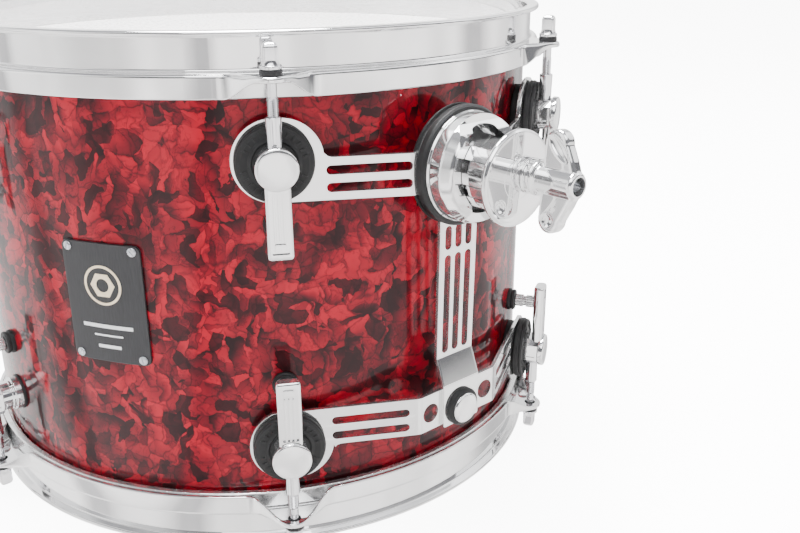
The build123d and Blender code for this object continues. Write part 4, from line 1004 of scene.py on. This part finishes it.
JOINT_RUBBER = [
    (170.5, 3.1), (170.5, 9.3, 0.3), (171.0, 9.6, 0.4), (172.2, 9.6, 0.8), (172.9, 8.6, 0.4), (172.9, 3.1),
]
JOINT_BOLT = [
    (158.6, 0), (158.6, 3.0, 0.5), (172.9, 3.0), (172.9, 7.6, 0.2), (173.8, 7.6, 0.5), (174.5, 6.9, 0.8),
    (175.3, 0),
]
piece("joint_washer", lathe(rounded(JOINT_RUBBER), JOINT_HEIGHT, 72), "joint_rubber", FRONT)
piece("joint_cap_bolt", lathe(rounded(JOINT_BOLT), JOINT_HEIGHT, 72), "joint_bolt", FRONT)


# ---- arm clamp

CLAMP_HEIGHT = 58.0
STUD_ACROSS = -8.0
ARM_ACROSS = 5.0
ARM_DISTANCE = 188.0
ARM_RADIUS = 5.25
PLATE_BACK = 199.2
PLATE_FRONT = 201.7
NUT_SEAT = 202.9
HUB_END = 226.8
NUT_TURN = 5.0
STUD_HOLE = 4.2


def turned(points, across=0.0, steps=96, corner_steps=4):
    """Turn an outline about the clamp's own line, or the stud's."""
    return lathe(rounded(points, corner_steps), CLAMP_HEIGHT, steps, across)


def on_stud(outline, steps=40):
    """Turn an outline about the stud's line."""
    return lathe(outline, CLAMP_HEIGHT, steps, STUD_ACROSS)


def block(x, y, z):
    """A box from its ranges."""
    return prism(box_outline(x, z), *y)


def cup_mesh():
    """The clamp's cup: a domed wall with a sloping bright rim, open where the arm passes."""
    outline = [
        (168.4, 0), (172.0, 0), (172.0, 20.6, 1.5), (180.0, 20.2, 2), (184.0, 17.3), (185.6, 17.3, 0.4),
        (186.0, 19.4, 0.8), (183.5, 22.2, 6), (178.5, 24.4, 4), (172.2, 24.4, 0.4), (171.4, 25.0, 0.5),
        (168.4, 25.0, 0.3),
    ]
    cup = turned(outline, corner_steps=6)
    rim = ((188, -26), (188, 27), (178, 27), (178, 21), (181.5, 17.5), (183.8, 13), (184.3, 0), (186, -14))
    slope = skin([[(x, y, CLAMP_HEIGHT + z) for y, z in rim] for x in (-32, 32)])
    arm_way = block((ARM_ACROSS - 6.6, ARM_ACROSS + 6.6), (181.5, 194.5), (20, 96))
    return bevelled(combine(cup, "DIFFERENCE", slope, arm_way), 0.3, 2, 35)


def jaw_mesh(start, end, rows, tooth_start, tooth_end):
    """A jaw: a block with guide teeth down both sides, rounded to the cup, and a groove for the arm."""
    solids = [block((-12.6, 10.8), (start, end), (CLAMP_HEIGHT - 13, CLAMP_HEIGHT + 13))]
    for row in rows:
        z = (CLAMP_HEIGHT + row - 2.4, CLAMP_HEIGHT + row + 2.4)
        solids.append(block((-17, -12.4), (tooth_start, tooth_end), z))
        solids.append(block((10.6, 17), (tooth_start, tooth_end), z))
    core = lathe(bar_outline(start - 1, tooth_end + 9, 17), CLAMP_HEIGHT)
    arm = prism(circle(ARM_ACROSS, ARM_DISTANCE, ARM_RADIUS, 40), CLAMP_HEIGHT - 30, CLAMP_HEIGHT + 30, "z")
    jaw = combine(solids[0], "UNION", *solids[1:])
    jaw = combine(jaw, "INTERSECT", core)
    jaw = combine(jaw, "DIFFERENCE", arm, on_stud(bar_outline(start - 2, start + 40, STUD_HOLE)))
    return bevelled(jaw, 0.35, 2, 35)


def clamp_plate_mesh():
    """The round clamp plate, with a rolled edge and a very slightly dished face, and its jaw."""
    outline = [
        (PLATE_BACK, STUD_HOLE), (PLATE_BACK, 21.0, 0.5), (PLATE_BACK + 1.4, 21.0, 0.9),
        (PLATE_FRONT, 20.0, 0.8), (PLATE_FRONT - 0.15, 18.6, 0.6), (PLATE_FRONT - 0.12, 9.0, 0.3),
        (PLATE_FRONT, 8.8, 0.2), (PLATE_FRONT, STUD_HOLE),
    ]
    core = turned(bar_outline(PLATE_BACK + 0.1, PLATE_FRONT - 0.2, 8.0))
    disc = combine(turned(outline, steps=128), "UNION", core)
    disc = combine(disc, "DIFFERENCE", on_stud(bar_outline(190, 204, STUD_HOLE)))
    return merged([disc, jaw_mesh(188.5, PLATE_BACK + 0.1, (-5.2, 5.2), 183.0, PLATE_BACK + 0.1)])


def wing_outline(sign):
    """One wing seen from the side: a rounded paddle whose outer edge runs down to the end of the hub."""
    tip = circle(215.0, 16.2, 5.8, 24, 0, 180)
    outline = tip + [(209.2, 9), (209.8, 0), (224.6, 0), (226.5, 4.2), (224.0, 10.0)]
    return [(distance, CLAMP_HEIGHT + sign * height) for distance, height in outline]


def ellipsoid(across, distance, height, radii, lean=0.0):
    """An ellipsoid, leaning about the line across the clamp."""
    shape = bmesh.new()
    bmesh.ops.create_uvsphere(shape, u_segments=40, v_segments=24, radius=1.0)
    mesh = as_mesh(shape)
    centre = Vector((across, distance, CLAMP_HEIGHT + height)) * MM
    size = Matrix.Diagonal((*[radius * MM for radius in radii], 1))
    mesh.transform(Matrix.Translation(centre) @ Matrix.Rotation(radians(lean), 4, "X") @ size)
    return mesh


def wing_nut_mesh():
    """A cast wing nut: hub, collar and two paddles, one with round hollows and one with long ones."""
    wings = []
    for sign in (1, -1):
        outline = wing_outline(sign)
        loops = [[(STUD_ACROSS + x, d, z) for d, z in outline] for x in (-3.1, 3.1)]
        wings.append(bevelled(skin(loops), 1.4, 4, 40))
    hub = [
        (NUT_SEAT, 0), (HUB_END, 0), (HUB_END, 5.0, 0.5), (HUB_END - 1.2, 6.1, 0.8), (207.4, 6.1, 0.5),
        (207.2, 7.9, 0.6), (205.2, 7.9, 0.6), (204.9, 6.3, 0.4), (NUT_SEAT, 6.1, 0.3),
    ]
    hollows = []
    for x in (STUD_ACROSS - 3.9, STUD_ACROSS + 3.9):
        hollows.append(ellipsoid(x, 214.6, -16.4, (2.0, 3.2, 3.2)))
        hollows.append(ellipsoid(x, 217.0, 14.2, (2.2, 7.6, 3.0), -44))
    nut = combine(wings[0], "UNION", wings[1], turned(hub, STUD_ACROSS))
    nut = cast(combine(nut, "DIFFERENCE", merged(hollows)), 0.3, 5)
    centre = Matrix.Translation((STUD_ACROSS * MM, 0, CLAMP_HEIGHT * MM))
    nut.transform(centre @ Matrix.Rotation(radians(-NUT_TURN), 4, "Y") @ centre.inverted())
    return combine(nut, "DIFFERENCE", on_stud(bar_outline(199, 230, 4.05), 48))


def threaded_stud():
    """The clamp's stud: plain behind, threaded where the wing nut runs, with a narrower tip."""
    pitch, turns, steps_a_turn = 1.25, 20, 6

    def radius(turn, distance):
        if distance > 213.5:
            return 3.3
        depth = 0.62 if 188.5 < distance < 212.5 else 0.0
        return 3.9 - depth * 2 * abs((distance / pitch - turn) % 1.0 - 0.5)

    def point(distance, x, z):
        return (STUD_ACROSS + x, distance, CLAMP_HEIGHT + z)

    thread = [188 + pitch * i / steps_a_turn for i in range(turns * steps_a_turn)]
    return ringed([(distance,) for distance in [168.6, 187.6] + thread + [213.9]], 36, radius, point)


GASKET_RIM = [
    (UPPER_FACET, 6), (UPPER_FACET, 27.3, 0.5), (169.8, 27.3, 0.8), (171.0, 26.2, 0.5), (171.0, 25.1),
    (168.3, 25.1), (168.3, 6),
]
GASKET_BACK = [
    (162.4, 23.4, 0.4), (162.4, 25.4, 0.5), (163.6, 27.3, 0.5), (164.8, 27.3, 0.4), (164.8, 23.4),
]
CLAMP_GASKET = merged([turned(GASKET_RIM, steps=128), turned(GASKET_BACK, steps=128)])
NUT_WASHER = [
    (PLATE_FRONT, STUD_HOLE), (PLATE_FRONT, 7.9, 0.3), (NUT_SEAT - 0.3, 7.9, 0.3), (NUT_SEAT, 7.4, 0.2),
    (NUT_SEAT, STUD_HOLE),
]
piece("clamp_gasket", CLAMP_GASKET, "bracket_gasket", FRONT)
piece("clamp_cup", cup_mesh(), "bracket_base", FRONT)
piece("inner_jaw", jaw_mesh(172.0, 187.5, (-10.4, 0, 10.4), 172.0, PLATE_BACK - 1.5), "fixed_jaw", FRONT)
piece("outer_jaw_plate", clamp_plate_mesh(), "clamp_plate", FRONT, body="clamp")
piece("wing_washer", turned(NUT_WASHER, STUD_ACROSS, 64), "wing_nut_washer", FRONT, body="clamp")
piece("cast_wing_nut", wing_nut_mesh(), "wing_nut", FRONT, body="wing_nut")
piece("jaw_stud", threaded_stud(), "clamp_stud", FRONT)


# ---- badge and vent

BADGE = place(-60)
BADGE_SHEET = 1.6
BADGE_SCREWS = [(x, z) for x in (-16.5, 16.5) for z in (-26.0, 26.0)]


def flat_mark(outline, holes, centre, thickness):
    """A printed or foiled mark on the badge's face."""
    mesh = sheet(outline, holes, thickness, 0.06)
    mesh.transform(Matrix.Translation((0, thickness / 2 * MM, centre * MM)))
    return mesh


def badge_plate_mesh():
    """The badge's plate, drilled for its screws and rolled to the shell."""
    outline = box_outline((-20, 20), (-28.75, 28.75), 3.2, 8)
    mesh = sheet(outline, [circle(x, z, 1.1, 20) for x, z in BADGE_SCREWS], BADGE_SHEET, 0.35)
    mesh.transform(Matrix.Translation((0, BADGE_SHEET / 2 * MM, 0)))
    return roll_on_shell(mesh, SHELL_RADIUS)


def badge_screw_mesh():
    """A pan-head screw with a slot."""
    outline = [(-4, 0), (-4, 1.0), (0, 1.0), (0, 2.1, 0.2), (0.5, 2.1, 0.4), (0.95, 1.3, 0.6), (1.0, 0)]
    return combine(lathe(rounded(outline), 0, 40), "DIFFERENCE", block((-3, 3), (0.55, 2), (-0.25, 0.25)))


face = SHELL_RADIUS + BADGE_SHEET
emblem = flat_mark(circle(0, 0, 9.5, 64), [circle(0, 0, 8.3, 64)], 9, 0.3)
centre_mark = flat_mark(circle(0, 0, 6.2, 6), [circle(0, 0, 3.2, 40)], 9, 0.3)
piece("badge_face", badge_plate_mesh(), "badge_plate", BADGE)
piece("badge_ornament", roll_on_shell(merged([emblem, centre_mark]), face), "badge_emblem", BADGE)
bars = [
    flat_mark(box_outline((-width / 2, width / 2), (-tall / 2, tall / 2), 0.3), [], z, 0.2)
    for width, tall, z in ((26, 1.8, -11), (15, 0.9, -15.5), (12, 1.6, -21))
]
piece("badge_bars", roll_on_shell(merged(bars), face), "badge_lines", BADGE)
screw = badge_screw_mesh()
screw_places = []
for x, z in BADGE_SCREWS:
    turn = x / face
    spin = Matrix.Rotation(radians(20 * x + 11 * z), 4, "Y")
    seat = Matrix.Translation((face * sin(turn) * MM, face * cos(turn) * MM, z * MM))
    screw_places.append(BADGE @ seat @ Matrix.Rotation(-turn, 4, "Z") @ spin)
piece("badge_fixings", repeated(screw, screw_places), "badge_screws")

VENT = [
    (144.6, 4.0, 0.3), (144.6, 7.4, 0.3), (145.4, 7.5, 0.2), (145.4, 6.0), (152.3, 6.0), (152.3, 9.0, 0.3),
    (153.2, 9.0, 0.4), (154.0, 7.4, 0.6), (154.0, 4.6, 0.5), (153.0, 4.0, 0.3),
]
piece("vent_eyelet", lathe(rounded(VENT), 0, 64), "vent_grommet", place(180))


# ---- wrap


def wrap_mesh():
    """The pearl sheet round the shell, with a hole for the vent."""
    outline = [(-98.6, 151.8), (-98.6, SHELL_RADIUS, 0.2), (98.6, SHELL_RADIUS, 0.2), (98.6, 151.8)]
    tube = pillar(rounded(outline, 2), 0, 480)
    tube.transform(Matrix.Translation((0, 0, MID_DEPTH * MM)))
    hole = lathe(bar_outline(140, 160, 6.0), 0, 48)
    hole.transform(place(180))
    return combine(tube, "DIFFERENCE", hole)


piece("pearl_sheet", wrap_mesh(), "shell_wrap")


# ---- CAD nodes that stay

for node, item in frame["nodes"].items():
    for slot in item.material_slots:
        slot.material = MATERIALS[NODE_SLOT[node]]


# ---- studio

STUDIO_STRENGTH = 2.8
BACKDROP_STRENGTH = 14.0
FLOOR_GAP = 0.0005
LENS, SENSOR = 40.96, 36.0
VIEW_POSITION = (-0.2844, -0.4465, 0.2763)
VIEW_PAN, VIEW_DOWN, VIEW_ROLL = -41.57, 20.26, -0.293


def studio_world():
    """A white studio with soft dark gaps, which show in gloss and chrome; the backdrop is plain white."""
    nodes = Nodes("studio", bpy.data.worlds, "Generated")
    bpy.context.scene.world = nodes.owner
    direction = nodes.add("ShaderNodeSeparateXYZ", Vector=nodes.place).outputs
    up = nodes.between(direction["Z"], -1.0, 1.0)
    across = nodes.between(direction["X"], -1.0, 1.0)
    # from straight down to straight up, on the side the drum is seen from and on the far side
    paper = (0.98, 0.955, 0.94)
    near_side = nodes.ramp(
        up,
        (0.0, (0.55, 0.54, 0.53)), (0.14, (0.80, 0.785, 0.775)), (0.30, paper), (0.48, paper),
        (0.52, (0.70, 0.69, 0.68)), (0.55, (0.05, 0.05, 0.055)), (0.76, (0.05, 0.05, 0.055)),
        (0.82, (0.90, 0.90, 0.91)), (0.88, (0.90, 0.90, 0.91)), (0.94, (0.14, 0.14, 0.15)),
    )
    far_side = nodes.ramp(
        up,
        (0.0, paper), (0.60, (0.98, 0.97, 0.96)), (0.74, (0.80, 0.80, 0.80)), (0.83, (0.18, 0.18, 0.19)),
        (0.94, (0.14, 0.14, 0.15)),
    )
    sides = nodes.mix(nodes.between(direction["Y"], 0.15, -0.25), far_side, near_side)
    # a slow unevenness, and dark gaps between the panels to the left and right
    white, flag = (1.0, 1.0, 1.0), (0.42, 0.42, 0.43)
    cloud = nodes.noise(2.3, 1.0)
    uneven = nodes.ramp(cloud, (0.0, (0.62, 0.62, 0.63)), (0.40, (0.80, 0.80, 0.80)), (0.52, white))
    gaps = nodes.ramp(
        across,
        (0.0, (0.5, 0.5, 0.5)), (0.04, white), (0.085, white), (0.105, flag), (0.125, flag), (0.155, white),
        (0.88, white), (0.92, flag), (0.95, flag), (0.98, white), (1.0, (0.8, 0.8, 0.8)),
    )
    panels = nodes.mix(1.0, nodes.mix(1.0, sides, uneven, "MULTIPLY"), gaps, "MULTIPLY")
    light = nodes.add("ShaderNodeBackground", Color=panels, Strength=STUDIO_STRENGTH)
    backdrop = nodes.add("ShaderNodeBackground", Color=(1, 1, 1, 1), Strength=BACKDROP_STRENGTH)
    seen = nodes.add("ShaderNodeLightPath").outputs["Is Camera Ray"]
    choice = nodes.add("ShaderNodeMixShader", Fac=seen)
    nodes.feed(choice.inputs[1], light.outputs["Background"])
    nodes.feed(choice.inputs[2], backdrop.outputs["Background"])
    nodes.feed(nodes.tree.nodes["World Output"].inputs["Surface"], choice.outputs["Shader"])


def soft_light(name, position, target, size, power):
    """A square softbox aimed at a point."""
    light = bpy.data.lights.new(name, "AREA")
    light.shape = "SQUARE"
    light.size = size
    light.energy = power
    lamp = placed(name, light)
    lamp.location = position
    lamp.rotation_euler = (Vector(target) - Vector(position)).to_track_quat("-Z", "Y").to_euler()


def floor():
    """Pale paper under the drum, out to beyond the view."""
    shape = bmesh.new()
    bmesh.ops.create_grid(shape, x_segments=8, y_segments=8, size=6.0)
    paper = placed("floor", as_mesh(shape))
    paper.location = (0, 0, CAD_BOX[0].z - FLOOR_GAP)
    paper.data.materials.append(studio_floor())
    paper.visible_glossy = False


def camera():
    """The photograph's view: a little above the drum, turned to the left of the clamp."""
    data = bpy.data.cameras.new("view")
    data.lens = LENS
    data.sensor_width = SENSOR
    data.clip_start = 0.01
    viewer = placed("view", data)
    viewer.matrix_world = Matrix.Translation(VIEW_POSITION)
    for angle, axis in ((VIEW_PAN, "Z"), (90 - VIEW_DOWN, "X"), (VIEW_ROLL, "Z")):
        viewer.matrix_world = viewer.matrix_world @ Matrix.Rotation(radians(angle), 4, axis)
    bpy.context.scene.camera = viewer


studio_world()
soft_light("overhead", (0.0, 0.1, 1.5), (0, 0, 0.24), 0.7, 115)
soft_light("key", (-1.1, -1.4, 1.9), (0, 0, 0.12), 1.4, 22)
soft_light("fill", (1.6, -0.6, 1.2), (0, 0, 0.12), 1.2, 9)
floor()
camera()
